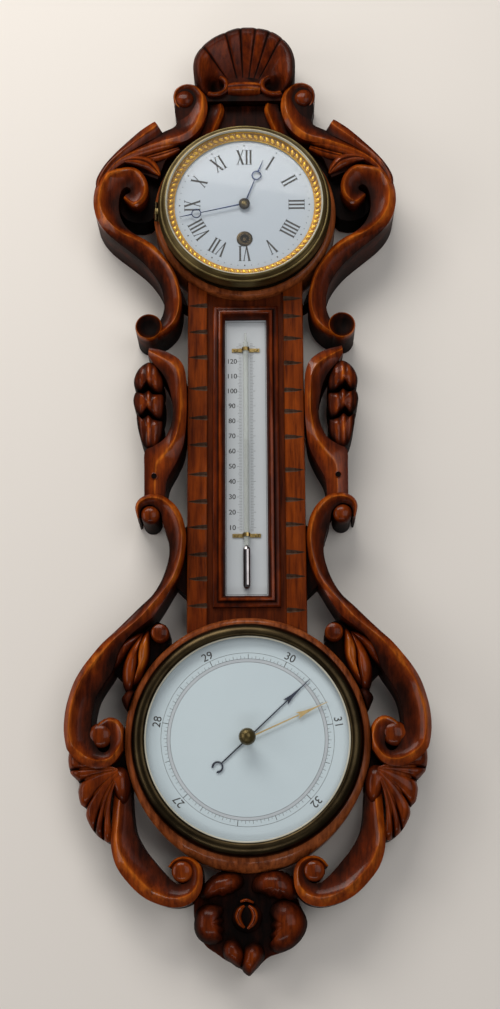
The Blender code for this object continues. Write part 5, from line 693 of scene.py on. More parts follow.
def fan(apex, rim, knots, lines, depth, bulge, width, foot=0.0, tone_and_painted_light=(0.35, 0.85), hollows=(), hub=(0, 0),
        bend=0.0, ends=0.0, dim=0.0):
    """A shell or fan leaf: rays from the apex to an open rim, with lines of painted shade between its lobes.

    knots are (share, height) pairs along each ray, and lines are places on the rim from 0 to 1.
    """
    edge = outline_dense(rim, 1.2, closed=False)
    gaps = np.concatenate([[0], np.cumsum(np.linalg.norm(np.diff(edge, axis=0), axis=1))])
    along = gaps / gaps[-1]
    marks = np.array([0.0] + list(lines) + [1.0])
    groove = np.zeros(len(along))
    swell = np.zeros(len(along))
    for mark in lines:
        groove += np.exp(-((along - mark) / width) ** 2)
    for a, b in zip(marks[:-1], marks[1:]):
        inside = (along >= a) & (along <= b)
        swell[inside] = 1 - (2 * (along[inside] - a) / (b - a) - 1) ** 2
    apex = np.array(apex, float)
    shares = np.array([0.06, 0.14, 0.22, 0.3, 0.38, 0.46, 0.54, 0.62, 0.7, 0.77, 0.83, 0.88, 0.92, 0.95, 0.98,
                       1.0])
    places, heights = np.array(knots).T
    base = np.interp(shares, places, heights)
    rows, tones_and_painted_light = [], []
    start = apex + (edge - apex) * np.array(hub)
    rays = edge - apex
    side = np.stack([rays[:, 1], -rays[:, 0]], 1) / np.linalg.norm(rays, axis=1)[:, None]
    low = ends * np.exp(-(np.minimum(along, 1 - along) / 0.075) ** 2)
    for share, height in zip(shares, base):
        place = start + (edge - start) * share + side * (4 * share * (1 - share) * bend * along)[:, None]
        lift = height - low * share - depth * groove * min(1, share * 3) + bulge * swell * share
        shade = np.full(len(edge), tone_and_painted_light[0] + (tone_and_painted_light[1] - tone_and_painted_light[0]) * share) - 0.5 * groove
        # dim paints shade towards the rim.
        shade = shade * (1 - dim * eased(0.72, 0.96, share))
        for (hx, hz, radius, deep) in hollows:
            near = np.exp(-(((place[:, 0] - hx) ** 2 + (place[:, 1] - hz) ** 2) / radius ** 2) ** 1.5)
            lift = lift - deep * near
            # Painted shade in the hollows.
            shade = shade * (1 - 0.85 * near)
        rows.append(np.column_stack([place, lift]))
        tones_and_painted_light.append(np.clip(shade, 0, 1))
    rows.reverse()
    tones_and_painted_light.reverse()
    wall = [np.column_stack([edge, np.full(len(edge), foot)]),
            np.column_stack([edge, foot + (rows[0][:, 2] - foot) * 0.7])]
    rows = wall + rows
    # The wall is painted dark as shade.
    tones_and_painted_light = [np.full(len(edge), 0.05), np.full(len(edge), 0.25)] + tones_and_painted_light
    return stacked(rows, tones_and_painted_light)


def rim_places(rim, points):
    """Where the points lie along a rim, from 0 to 1."""
    edge = outline_dense(rim, 1.2, closed=False)
    gaps = np.concatenate([[0], np.cumsum(np.linalg.norm(np.diff(edge, axis=0), axis=1))])
    return [gaps[int(np.argmin(np.linalg.norm(edge - np.array(p), axis=1)))] / gaps[-1] for p in points]


def wing_parts():
    parts = [scroll_band(rows) for rows in SCROLLS.values()]
    verts = parts[0][0]
    away = verts[:, :2] - CUP
    length = np.maximum(np.linalg.norm(away, axis=1), 1e-6)
    inside = length < CUP_HOLLOW
    verts[inside, :2] = (CUP + away * (CUP_HOLLOW / length)[:, None])[inside]
    parts += [leaf(row, 0.24, 0.55) for row in CREST_LEAVES]
    parts += [slab(points, top, tone_and_painted_light) for points, top, tone_and_painted_light in GROUNDS]
    # The last number of each boss row is its painted light: dark inside the cup and the hole as shade, bright on
    # rims as highlight.
    cup = [(14.5, 44, 0.4), (14.5, 52.5, 0.85), (13.6, 54.2, 1.0), (12.4, 52.5, 0.3), (8, 48.5, 0.06),
           (1, 47.5, 0.03)]
    parts.append(button(*CUP, cup))
    eye = [(9.8, 44, 0.3), (9.8, 48, 0.5), (8.2, 50.5, 0.62), (5, 52, 0.72), (1.5, 52.4, 0.72)]
    parts.append(button(-100.4, 234.0, eye))
    crest_eye = [(10.2, 40, 0.1), (10.2, 44.5, 0.35), (9.4, 46.8, 0.52), (7, 48.6, 0.6), (3.5, 49.6, 0.64),
                 (1, 49.8, 0.64)]
    parts.append(button(-66.6, 715.0, crest_eye))
    foot = [(10.5, 44, 0.2), (10.5, 51.5, 0.5), (9, 53.5, 0.75), (5, 54.6, 0.7), (1, 54.8, 0.65)]
    parts.append(button(-65.2, -131.0, foot))
    curl = [(9.5, 40, 0.2), (9.5, 49, 0.6), (8, 52, 0.75), (5, 53.4, 0.6), (1, 53.8, 0.6)]
    parts.append(button(-89.2, 108.6, curl))
    volute = [(12.4, 44, 0.3), (12.4, 50, 0.5), (10.5, 52, 0.66), (6, 53.6, 0.7), (1, 54.0, 0.7)]
    parts.append(button(-148.5, 4.0, volute))
    lobe = [(-142, -33), (-133, -27), (-123, -29), (-118, -42), (-118.5, -56), (-124, -66), (-131, -60),
            (-137, -46)]
    parts.append(cushion(lobe, 42, 53.5, tone_and_painted_light=(0.25, 0.62, 0.7)))
    hole = [(3.6, 48, 0.3), (3.6, 51.9, 0.8), (3.0, 52.1, 0.5), (2.7, 51.7, 0.0), (1, 51.7, 0.0)]
    parts.append(button(-96.6, 275.0, hole, around=24))
    for points, top in HUSK:
        parts.append(cushion(points, 43, top, tone_and_painted_light=(0.12, 0.80, 0.92), ribs=(-103.5, 7.0, 1.2), step=1.0))
    # Each bud leaf is painted lighter or darker by how the light falls on it.
    for points, tone_and_painted_light in zip(BUD_LEAVES, (0.55, 0.8, 0.95, 0.3)):
        parts.append(cushion(points, 40, 54, tone_and_painted_light=(0.12, tone_and_painted_light, tone_and_painted_light), step=1.0))
    fan_lines = rim_places(FAN_RIM, [(-179, -29), (-170, -43), (-162.4, -68.4), (-153, -92), (-144, -99)])
    parts.append(fan((-127.2, -30.9), FAN_RIM,
                     [(0, 53), (0.3, 52.5), (0.6, 51.5), (0.85, 50), (0.94, 48), (1, 43)],
                     fan_lines, 4.2, 2.6, 0.014, tone_and_painted_light=(0.62, 0.66), bend=6.0))
    return parts


def crest_parts():
    lines = rim_places(SHELL_RIM, SHELL_LINES)
    # The shell is painted dark round its rim (dim) and in its two hollows, as shade.
    shell = fan((0.0, 738.0), SHELL_RIM,
                [(0, 38), (0.12, 38.5), (0.3, 42.5), (0.5, 48), (0.68, 53), (0.82, 56), (0.92, 55.5), (1, 50)],
                lines, 1.1, 0.5, 0.0055, tone_and_painted_light=(0.36, 0.72), hub=(0.34, 0.05), ends=12.0, dim=0.6,
                hollows=[(-33.0, 731.0, 10.0, 10), (34.0, 731.0, 10.5, 10)])
    parts = [shell]
    for hx, start, end in ((-33.0, 240, 425), (34.0, 300, 115)):
        ring_rows = []
        for t in np.radians(np.linspace(start, end, 16)):
            c, d = math.cos(t), math.sin(t)
            ring_rows.append((hx + 17.0 * c, 730.8 + 13.5 * d, hx + 11.0 * c, 730.8 + 8.5 * d,
                              49.5, 0.5, 2.2))
        parts.append(scroll_band(ring_rows))
    roll = [(-18, 728.0, 7.4, 49), (-12, 728.0, 8.2, 51), (0, 728.0, 8.5, 52), (12, 728.0, 8.2, 51),
            (18, 728.0, 7.4, 49)]
    parts.append(leaf(roll, 0.0, 0.9, 45))
    # The ledge and the field are painted dark as shade.
    parts.append(slab([(-56, 721.5), (-54, 713.0), (54, 713.0), (56, 721.5)], 43.5, tone_and_painted_light=0.16))
    parts.append(slab([(-50, 714), (-50, 640), (50, 640), (50, 714)], 31, tone_and_painted_light=0.26))
    for side in (-1, 1):
        parts.append(scroll_band([(side * outer, high, side * inner, low, 41, 0.2, depth)
                                  for outer, high, inner, low, depth in FIELD_STRAND]))
    return parts


def pendant_parts():
    """Petals over a dished ground painted dark as shade, round a bud painted dark as shade."""
    parts = [cushion(PENDANT_RIM, 31, 37, centre=(0.5, -175), tone_and_painted_light=(0.34, 0.10, 0.03))]
    for points in PETALS:
        verts, faces, tones_and_painted_light = cushion(points, 34, 52, foot=28, tone_and_painted_light=(0.08, 0.52, 0.64), step=1.0)
        # The petals are painted darker towards the middle, as shade.
        away = np.hypot(verts[:, 0] + 0.5, verts[:, 1] + 174)
        parts.append((verts, faces, tones_and_painted_light * eased(17, 38, away)))
    bud = [(15, 28, 0.03), (15, 38, 0.06), (13.5, 40, 0.08), (11, 41.5, 0.05), (8.5, 42.5, 0.08),
           (1.5, 42.5, 0.04)]
    parts.append(button(-1.5, -175.0, bud))
    parts += [leaf(rows, 0.0, 1.0, 15) for rows in BUD_LIPS]
    return parts


def kept_clear(verts, slack=0.35):
    """Keep the carving outside the two turned surrounds and the column."""
    for up, radius in ((CLOCK_UP, CLOCK_RING + slack), (0.0, BAROMETER_RING + slack)):
        away = verts[:, :2] - np.array([0.0, up])
        length = np.linalg.norm(away, axis=1)
        inside = length < radius
        verts[inside, :2] = (np.array([0.0, up]) + away * (radius / np.maximum(length, 1e-6))[:, None])[inside]
    middle = (verts[:, 1] > 108) & (verts[:, 1] < 500) & (verts[:, 0] < 0)
    verts[middle, 0] = np.minimum(verts[middle, 0], -COLUMN_HALF - slack)
    return verts


def faces_outward(obj, starts):
    """Turn round each part whose faces still look inwards. starts are the parts' first corners."""
    places = np.array([vertex.co[:] for vertex in obj.data.vertices])
    faces = [[] for _ in starts]
    room = np.zeros(len(starts))
    for face in obj.data.polygons:
        part = int(np.searchsorted(starts, face.vertices[0], side="right")) - 1
        corners = places[list(face.vertices)]
        spread = np.cross(corners[1:-1] - corners[0], corners[2:] - corners[0]).sum(axis=0)
        room[part] += np.dot(corners[0], spread)
        faces[part].append(face)
    for part in np.flatnonzero(room < 0):
        for face in faces[part]:
            face.flip()
    obj.data.update()


def carved_object(name, parts, side, back=0.0):
    """One mesh from its parts. side -1: as drawn, on the left; 1: mirrored to the right."""
    verts, faces, tones_and_painted_light, starts, start = [], [], [], [], 0
    for place, (part_verts, part_faces, part_painted_light) in enumerate(parts):
        points = kept_clear(np.array(part_verts, float))
        points[points[:, 2] < 0.01, 2] = back + BACK_STEP * place
        verts.append(points)
        tones_and_painted_light.append(part_painted_light)
        faces += [tuple(start + index for index in face) for face in part_faces]
        starts.append(start)
        start += len(points)
    verts, tones_and_painted_light = np.concatenate(verts), np.concatenate(tones_and_painted_light)
    world = np.stack([verts[:, 0] * -side, -verts[:, 2], verts[:, 1]], 1) / 1000
    world[:, 2] += BAROMETER_Z
    obj = mesh_object(name, world, faces, tones_and_painted_light)
    normals_out(obj)
    faces_outward(obj, starts)
    return obj


def plain_back(obj):
    """The flat side to the wall was never carved, and gets plain oak without the painted light and shade of the
    front.
    """
    obj.data.materials.append(MAT["column_oak"])
    for face in obj.data.polygons:
        if face.normal.y > 0.7:
            face.material_index = 1


WING = wing_parts()
for side, name in ((-1, "left"), (1, "right")):
    wing = carved_object("carved_wing_" + name, WING, side)
    plain_back(dress(wing, "case", "carved_oak", ["wing_" + name], smooth=38))
shell = carved_object("carved_shell", crest_parts(), -1, CREST_BACK)
plain_back(dress(shell, "case", "carved_oak", ["shell_crest"], smooth=42))
pendant = carved_object("carved_pendant", pendant_parts(), -1)
plain_back(dress(pendant, "case", "carved_oak", ["flower_pendant"], smooth=42))


# ---------------------------------------------------------------- turned surrounds and bezels

def rounded_ring(inner, outer, rounding=6):
    """The section of a flat ring with two rounded front edges."""
    middle = RING_FRONT - rounding
    return ([(inner, 0)] + arc(inner + rounding, middle, rounding, 180, 90, 9)
            + arc(outer - rounding, middle, rounding, 90, 0, 9) + [(outer, 0)])


dress(turned("clock_ring", rounded_ring(84.4, CLOCK_RING), CLOCK_Z), "case", "turned_oak", ["clock_surround"])


def flared(obj, reach, start):
    """Let the ring's outer edge fall away wider round its foot."""
    for vertex in obj.data.vertices:
        x, z = vertex.co.x, vertex.co.z - BAROMETER_Z
        radius = math.hypot(x, z)
        low = max(0.0, -z / radius) ** 4 * max(0.0, (radius * 1000 - start) / (BAROMETER_RING - start))
        grown = 1 + low * reach / 1000 / radius
        vertex.co = (x * grown, vertex.co.y * (1 - 0.10 * low), BAROMETER_Z + z * grown)
    return obj


barometer_ring = turned("barometer_ring", rounded_ring(106.4, BAROMETER_RING), BAROMETER_Z)
dress(flared(barometer_ring, 7.5, 117.4), "case", "turned_oak", ["barometer_surround"])

CLOCK_BEZEL = [(85.5, 48.4), (90.6, 48.4), (91.0, 49.0), (91.2, 56.6), (92.4, 58.0), (94.1, 58.8), (94.5, 59.6),
               (94.4, 61.6), (93.9, 62.4), (93.0, 65.5), (92.2, 67.6), (92.3, 68.8), (91.9, 69.8), (91.0, 70.2),
               (90.0, 69.9), (89.4, 70.6), (88.6, 72.4), (87.4, 74.0), (86.2, 74.8), (85.2, 74.9), (84.6, 74.2),
               (84.5, 72.8), (85.5, 72.8)]


def bezel_knuckle():
    """The bezel's own knuckle on the hinge pin, and the tab that joins it to the rim."""
    tall = 0.0068
    bpy.ops.mesh.primitive_cylinder_add(vertices=24, radius=0.002, depth=tall, location=(-0.097, -0.049, CLOCK_Z))
    knuckle = bevelled(bpy.context.object, 0.0002)
    bpy.ops.mesh.primitive_cube_add(size=1, location=(-0.0936, -0.0497, CLOCK_Z), scale=(0.0068, 0.0022, tall))
    tab = bevelled(bpy.context.object, 0.0003)
    return [baked(knuckle, 30), baked(tab, 30)]


bezel_ring = turned("clock_bezel_ring", CLOCK_BEZEL, CLOCK_Z, smooth=50)
dress(joined("clock_bezel_ring", [bezel_ring] + bezel_knuckle()), "bezel", "olive_brass", ["clock_bezel"])


SIGHT_GROUND = [(76.9, 65.1), (76.9, 66.4), (83.9, 68.0), (85.2, 68.4), (85.2, 66.9)]
INNER_LINE = [(75.9, 65.1), (75.9, 66.3), (76.4, 66.9), (77.0, 66.5), (77.0, 65.3)]
OUTER_LINE = [(83.9, 67.6), (84.0, 69.0), (84.6, 69.6), (85.2, 69.2), (85.2, 67.6)]
GLASS_LIP_AND_GLINT = [(83.4, 72.9), (83.5, 73.4), (84.7, 74.9), (85.2, 74.9), (85.3, 73.4)]


def sight_beads(count=78):
    """Slanting gilt beads between two fine lines round the edge of the dial."""
    pieces = [turned("sight_inner_line", INNER_LINE, CLOCK_Z), turned("sight_outer_line", OUTER_LINE, CLOCK_Z)]
    bpy.ops.mesh.primitive_uv_sphere_add(segments=10, ring_count=6, radius=1, location=(0, 0, 0),
                                         scale=(0.0040, 0.0021, 0.0021), rotation=(0, math.radians(48), 0))
    bead = baked(bpy.context.object, 60)
    bead.location = (0, -0.0677, 0.0803)
    baked(bead)
    for k in range(count):
        turned_bead = copied(bead)
        turned_bead.rotation_euler = (0, 2 * PI * k / count, 0)
        turned_bead.location = (0, 0, CLOCK_Z)
        pieces.append(baked(turned_bead))
    bpy.data.objects.remove(bead)
    return joined("sight_beads", pieces)


dress(turned("sight_ground", SIGHT_GROUND, CLOCK_Z, smooth=50), "bezel", "gilt_ground", ["sight_ring"])
dress(sight_beads(), "bezel", "gilding", ["sight_ring"])
# A pale cream ring at the glass's edge: partly the bezel's inner lip, partly a painted reflection of the bevelled
# glass.
dress(turned("clock_bezel_lip_and_glint", GLASS_LIP_AND_GLINT, CLOCK_Z, smooth=50), "bezel", "cream_lip_and_glint", ["clock_bezel"])

BAROMETER_BEZEL = [(103.6, 54.75), (103.7, 55.7), (104.5, 57.0), (106.2, 57.9), (108.8, 58.0), (111.8, 57.3),
                   (114.4, 55.6), (116.3, 52.8), (117.4, 50.0), (118.0, 48.2), (118.0, 46.4), (108.4, 46.4),
                   (108.4, 54.75)]
dress(turned("barometer_bezel_ring", BAROMETER_BEZEL, BAROMETER_Z), "case", "deep_brass",
      ["barometer_bezel"], smooth=50)
# A thin pale cream ring inside the bezel: partly its lip, partly a painted reflection of the glass edge.
BEZEL_LIP_AND_GLINT = [(102.2, 54.75), (102.3, 55.2), (102.9, 55.6), (103.7, 55.7), (103.7, 54.75)]
dress(turned("barometer_bezel_lip_and_glint", BEZEL_LIP_AND_GLINT, BAROMETER_Z), "case", "cream_lip_and_glint",
      ["barometer_bezel"], smooth=50)


# ---------------------------------------------------------------- column and window moulding

def cut_away(obj, *cutters):
    """Cut each of the cutters out of a piece. The cut faces keep the cutter's material."""
    for cutter in cutters:
        pick(obj)
        modifier = obj.modifiers.new("cut", "BOOLEAN")
        modifier.operation = "DIFFERENCE"
        modifier.object = cutter
        modifier.material_mode = "TRANSFER"
        bpy.ops.object.modifier_apply(modifier="cut")
        bpy.data.objects.remove(cutter)
    return obj


def block(name, x0, x1, z0, z1, h0, h1):
    """A box between two corners, in mm, with z above the barometer's centre."""
    bpy.ops.mesh.primitive_cube_add(
        size=1, location=((x0 + x1) / 2000, -(h0 + h1) / 2000, BAROMETER_Z + (z0 + z1) / 2000),
        scale=((x1 - x0) / 1000, (h1 - h0) / 1000, (z1 - z0) / 1000))
    obj = bpy.context.object
    obj.name = name
    return baked(obj)


def round_cutter(radius, z):
    bpy.ops.mesh.primitive_cylinder_add(vertices=160, radius=radius / 1000, depth=0.2, location=(0, -0.03, z),
                                        rotation=(PI / 2, 0, 0))
    return baked(bpy.context.object)


def softened(obj, height, offset):
    """Bevel the long edges of a rail's front."""
    edit(obj, "EDGE")
    bpy.ops.mesh.select_all(action="DESELECT")
    mesh = bmesh.from_edit_mesh(obj.data)
    for line in mesh.edges:
        a, b = line.verts
        if all(abs(-v.co.y * 1000 - height) < 0.01 for v in (a, b)) and abs(a.co.x - b.co.x) < 1e-6:
            line.select = True
    bmesh.update_edit_mesh(obj.data)
    bpy.ops.mesh.bevel(offset=offset / 1000, segments=3)
    done()


def ring_cutters():
    """The two turned rings with their gap."""
    return [round_cutter(CLOCK_RING + RING_GAP, CLOCK_Z), round_cutter(BAROMETER_RING + RING_GAP, BAROMETER_Z)]


COLUMN_ENDS = (COLUMN_INSET, CLOCK_UP - COLUMN_INSET)
board = block("column_face", -COLUMN_HALF, COLUMN_HALF, *COLUMN_ENDS, 0, FIELD_FRONT)
cut_away(board, block("window_opening", -29.4, 29.4, 143, 463, 26.2, 50), *ring_cutters())
dress(board, "case", "board_oak", ["column_board"], smooth=30)


# Place across the rail, reach above and below the middle, front and floor
NICK_STATIONS = [(40.6, 4.6, 4.0, 41.2, 37.2), (51.0, 3.6, 3.0, 41.2, 37.8), (57.0, 2.0, 1.5, 41.0, 38.0),
                 (60.8, 0.8, 0.5, 40.6, 39.5)]


def nick(side, z):
    """A gouge that runs out to a point across the rail."""
    z = BAROMETER_Z + z / 1000
    verts = []
    for across, high, low, front, floor in NICK_STATIONS:
        x = side * across / 1000
        verts += [(x, -front / 1000, z + high / 1000), (x, -front / 1000, z - low / 1000), (x, -floor / 1000, z)]
    faces = [(0, 1, 2), (9, 11, 10)]
    faces += [(r + a, r + 3 + a, r + 3 + b, r + b) for r in (0, 3, 6) for a, b in ((0, 1), (1, 2), (2, 0))]
    obj = mesh_object("nick", verts, faces)
    normals_out(obj)
    obj.data.materials.append(MAT["nick_oak"])
    return obj


NICKS = {"left": (469.8, 439.6, 410.6, 375.2, 342.3, 312.3, 279.7, 250.0, 222.1, 192.7, 166.8, 138.3),
         "right": (477.3, 456.7, 431.2, 403.2, 372.7, 348.6, 320.1, 283.7, 251.2, 224.2, 194.4, 168.6, 132.9)}
for side, name in ((-1, "left"), (1, "right")):
    low, high = sorted((side * RAIL_INNER, side * COLUMN_HALF))
    rail = block("rail_" + name, low, high, *COLUMN_ENDS, 30, RAIL_FRONT)
    softened(rail, RAIL_FRONT, 1.3)
    rail.data.materials.append(MAT["column_oak"])
    cut_away(rail, *ring_cutters(), *[nick(side, z) for z in NICKS[name]])
    baked(rail, 30)
    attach(rail, "case")
    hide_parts("column_board")


def moulding():
    """A mitred frame of one swept profile: (distance out from the opening, height)."""
    profile = [(0.2, 30.0), (0.2, 34.6), (0.9, 37.6), (1.8, 40.0), (3.0, 42.0), (4.2, 43.4), (5.4, 44.0),
               (6.6, 43.7), (7.5, 42.6), (8.1, 41.2), (9.2, 40.7), (10.8, 40.6), (12.2, 40.2), (13.2, 39.0),
               (13.4, 36.1), (6.0, 36.1), (6.0, 30.0)]
    # Painted light along the profile: a highlight on the round ridge, shade in the step and at the back.
    tones_and_painted_light = [0.4, 0.45, 0.40, 0.34, 0.42, 0.62, 0.72, 0.62, 0.36, 0.16, 0.42, 0.52, 0.55, 0.5, 0.1, 0.1, 0.1]
    verts, shades = [], []
    for right, upper in ((1, 1), (-1, 1), (-1, -1), (1, -1)):
        for (out, height), tone_and_painted_light in zip(profile, tones_and_painted_light):
            edge = WINDOW_HIGH if upper > 0 else WINDOW_LOW
            verts.append((right * (WINDOW_HALF + out) / 1000, -height / 1000,
                          BAROMETER_Z + (edge + upper * out) / 1000))
            shades.append(tone_and_painted_light)
    size = len(profile)
    faces = [(a * size + k, a * size + (k + 1) % size, b * size + (k + 1) % size, b * size + k)
             for a, b in ((0, 1), (1, 2), (2, 3), (3, 0)) for k in range(size)]
    obj = mesh_object("moulding_frame", verts, faces, shades)
    normals_out(obj)
    return obj


dress(moulding(), "case", "carved_oak", ["window_moulding"], smooth=35)


# ---------------------------------------------------------------- dial markings

def flat_marks(name, shapes, height, z):
    """Closed flat outlines in mm about the dial centre, laid just over the dial and facing the front."""
    verts, faces = [], []
    for outline in shapes:
        start = len(verts)
        verts += [(x / 1000, -height / 1000, z + y / 1000) for x, y in outline]
        faces.append(tuple(range(start, start + len(outline))))
    obj = mesh_object(name, verts, faces)
    for face in obj.data.polygons:
        if face.normal.y > 0:
            face.flip()
    obj.data.update()
    return obj


def bar(x0, y0, x1, y1, w0, w1=None):
    """A straight stroke with a width at each end."""
    w1 = w0 if w1 is None else w1
    dx, dy = x1 - x0, y1 - y0
    length = math.hypot(dx, dy)
    nx, ny = -dy / length, dx / length
    return [(x0 - nx * w0 / 2, y0 - ny * w0 / 2), (x1 - nx * w1 / 2, y1 - ny * w1 / 2),
            (x1 + nx * w1 / 2, y1 + ny * w1 / 2), (x0 + nx * w0 / 2, y0 + ny * w0 / 2)]


ROMAN_WIDTH = {"I": 3.6, "V": 9.0, "X": 9.0}
NUMERAL_TALL = 17.5
NUMERAL_FOOT = 48.0         # from the dial's centre
LETTER_GAP = 0.7
MINUTE_RING = 70.6


def roman(letter, tall):
    """Strokes of one letter on (across, up) with its foot at zero."""
    serif = 0.55
    if letter == "I":
        return [bar(0, 0, 0, tall, 2.1), bar(-1.9, serif / 2, 1.9, serif / 2, serif),
                bar(-1.9, tall - serif / 2, 1.9, tall - serif / 2, serif)]
    if letter == "V":
        return [bar(-3, tall, 0.2, 0, 2.3, 1.6), bar(3, tall, 0.2, 0, 1.0, 0.9),
                bar(-4.6, tall - serif / 2, -1.2, tall - serif / 2, serif),
                bar(1.6, tall - serif / 2, 4.4, tall - serif / 2, serif)]
    return [bar(-3, tall, 3, 0, 2.3, 2.3), bar(3, tall, -3, 0, 1.0, 1.0),
            bar(-4.6, tall - serif / 2, -1.4, tall - serif / 2, serif),
            bar(1.4, tall - serif / 2, 4.4, tall - serif / 2, serif),
            bar(-4.4, serif / 2, -1.4, serif / 2, serif), bar(1.4, serif / 2, 4.6, serif / 2, serif)]


def placed(outline, angle, radius):
    """Turn an outline (across, up) to stand outward at a clock angle in degrees."""
    t = math.radians(angle)
    out = []
    for x, y in outline:
        r = radius + y
        out.append((x * math.cos(t) + r * math.sin(t), -x * math.sin(t) + r * math.cos(t)))
    return out


def clock_shapes():
    shapes = []
    numerals = ["XII", "I", "II", "III", "IIII", "V", "VI", "VII", "VIII", "IX", "X", "XI"]
    for hour, text in enumerate(numerals):
        widths = [ROMAN_WIDTH[letter] for letter in text]
        cursor = -(sum(widths) + LETTER_GAP * (len(text) - 1)) / 2
        for letter, width in zip(text, widths):
            for outline in roman(letter, NUMERAL_TALL):
                moved = [(x + cursor + width / 2, y) for x, y in outline]
                shapes.append(placed(moved, hour * 30, NUMERAL_FOOT))
            cursor += width + LETTER_GAP
    square = [(-0.7, -0.8), (0.7, -0.8), (0.7, 0.8), (-0.7, 0.8)]
    dot = arc(0, 0, 0.5, 0, 324, 10)
    for minute in range(60):
        shapes.append(placed(dot if minute % 5 else square, minute * 6, MINUTE_RING))
    return shapes


dress(flat_marks("clock_numerals", clock_shapes(), CLOCK_DIAL_FRONT, CLOCK_Z), "case", "marking_ink")


def ring_outline(inner, outer, steps=180):
    """A narrow flat ring as short quads."""
    quads = []
    turns = np.radians(np.linspace(0, 360, steps + 1))
    for a, b in zip(turns[:-1], turns[1:]):
        quads.append([(inner * math.sin(a), inner * math.cos(a)), (inner * math.sin(b), inner * math.cos(b)),
                      (outer * math.sin(b), outer * math.cos(b)), (outer * math.sin(a), outer * math.cos(a))])
    return quads


INCH_TURN = 53.2            # degrees of the dial to an inch of mercury
NUMBER_RING = 93
TICK_FOOT = 81.4
# Every so many twentieths of an inch: the tick's far end and half width
TICKS = [(20, 87.4, 0.34), (10, 86.2, 0.26), (2, 84.8, 0.18), (1, 83.4, 0.14)]


def barometer_shapes():
    shapes = []
    for radius in (78.0, 81.3, 87.4):
        shapes += ring_outline(radius, radius + 0.35)
    for k in range(140):
        angle = 0.8 + INCH_TURN * (27 + k / 20 - 29.5)
        if angle > 226:
            break
        far, half = next((far, half) for every, far, half in TICKS if k % every == 0)
        tall = far - TICK_FOOT
        shapes.append(placed([(-half, 0), (half, 0), (half, tall), (-half, tall)], angle, TICK_FOOT))
    return shapes


dress(flat_marks("barometer_band", ring_outline(78.35, 81.3), BAROMETER_DIAL_FRONT - 0.03, BAROMETER_Z),
      "case", "grey_ink")
dress(flat_marks("barometer_scale", barometer_shapes(), BAROMETER_DIAL_FRONT, BAROMETER_Z), "case", "marking_ink")


def number(text, size, x, z, height, weight, turn=0.0):
    """A number as a thin mesh, its middle at (x, z) in mm from the world origin, doubled to thicken it."""
    bpy.ops.object.text_add(location=(0, 0, 0))
    obj = bpy.context.object
    obj.data.body = text
    obj.data.size = size / 1000
    obj.data.align_x = "CENTER"
    obj.data.align_y = "CENTER"
    pick(obj)
    bpy.ops.object.convert(target="MESH")
    obj = bpy.context.object
    obj.rotation_euler = (PI / 2, turn, 0)
    obj.location = (x / 1000, -height / 1000, z / 1000)
    again = copied(baked(obj))
    again.location = (weight / 1000, -0.00002, 0)
    return joined("number", [obj, baked(again)])


numbers = []
for value, angle in ((28, -79), (29, -26), (30, 28), (31, 80), (27, -132), (32, 133)):
    t = math.radians(angle)
    numbers.append(number(str(value), 11.5, NUMBER_RING * math.sin(t),
                          BAROMETER_Z * 1000 + NUMBER_RING * math.cos(t), BAROMETER_DIAL_FRONT, 0.25, t))
dress(joined("barometer_numbers", numbers), "case", "marking_ink")

TOP_MARK = 409.2            # the thermometer's 120
TEN_DEGREES = 16.85
numbers = []
for k, value in enumerate(range(120, 0, -10)):
    z = BAROMETER_Z * 1000 + TOP_MARK - k * TEN_DEGREES
    numbers.append(number(str(value), 7.6, -15.2, z, THERMOMETER_FRONT, 0.22))
dress(joined("thermometer_numbers", numbers), "case", "marking_ink")

ticks = []
for k in range(-12, 113):
    z = TOP_MARK - TEN_DEGREES * k / 10
    far = 4.6 + (5.5 if k % 10 == 0 else 4.2 if k % 5 == 0 else 3.0)
    for side in (-1, 1):
        ticks.append([(side * 4.6, z - 0.14), (side * far, z - 0.14), (side * far, z + 0.14),
                      (side * 4.6, z + 0.14)])
border = [(-21.2, 152.0), (21.2, 152.0), (21.2, 454.0), (-21.2, 454.0)]
ticks += [bar(*a, *b, 0.35) for a, b in zip(border, border[1:] + border[:1])]
dress(flat_marks("thermometer_ticks", ticks, THERMOMETER_FRONT, BAROMETER_Z), "case", "marking_ink")


# ---------------------------------------------------------------- hands

def index_hand(name, body, material, angle, length, back, tail, head):
    """A long arrow whose head lies part of the way along, with an open moon on its tail."""
    end = -tail if tail else -3.0
    half = [(end, 0.75), (head, 0.62), (head - 2.6, 3.6), (head + 0.8, 2.8), (head + 6.0, 1.7),
            (head + 14.0, 0.9), (head + 20.0, 0.55), (length, 0.25)]
    shapes = [[(x, -y) for x, y in half] + [(x, y) for x, y in reversed(half)]]
    if tail:
        shapes.append(arc(-tail - 5.6, 0, 6.0, -146, 146, 25) + arc(-tail - 5.2, 0, 4.0, 140, -140, 25))
    shapes.append(arc(0, 0, 4.6, 0, 345, 24))
    turn = math.radians(90 - angle)
    pieces = []
    for order, shape in enumerate(shapes):
        rows = [(x * math.cos(turn) - y * math.sin(turn), x * math.sin(turn) + y * math.cos(turn))
                for x, y in shape]
        verts = [(x / 1000, -(back + rise + 0.05 * order) / 1000, BAROMETER_Z + z / 1000)
                 for rise in (0, 0.7) for x, z in rows]
        count = len(rows)
        faces = [tuple(range(count)), tuple(reversed(range(count, 2 * count)))]
        faces += [(k, (k + 1) % count, count + (k + 1) % count, count + k) for k in range(count)]
        piece = mesh_object(name + "_part", verts, faces)
        normals_out(piece)
        pieces.append(piece)
    dress(joined(name, pieces), body, material, [name.replace("_shape", "")])


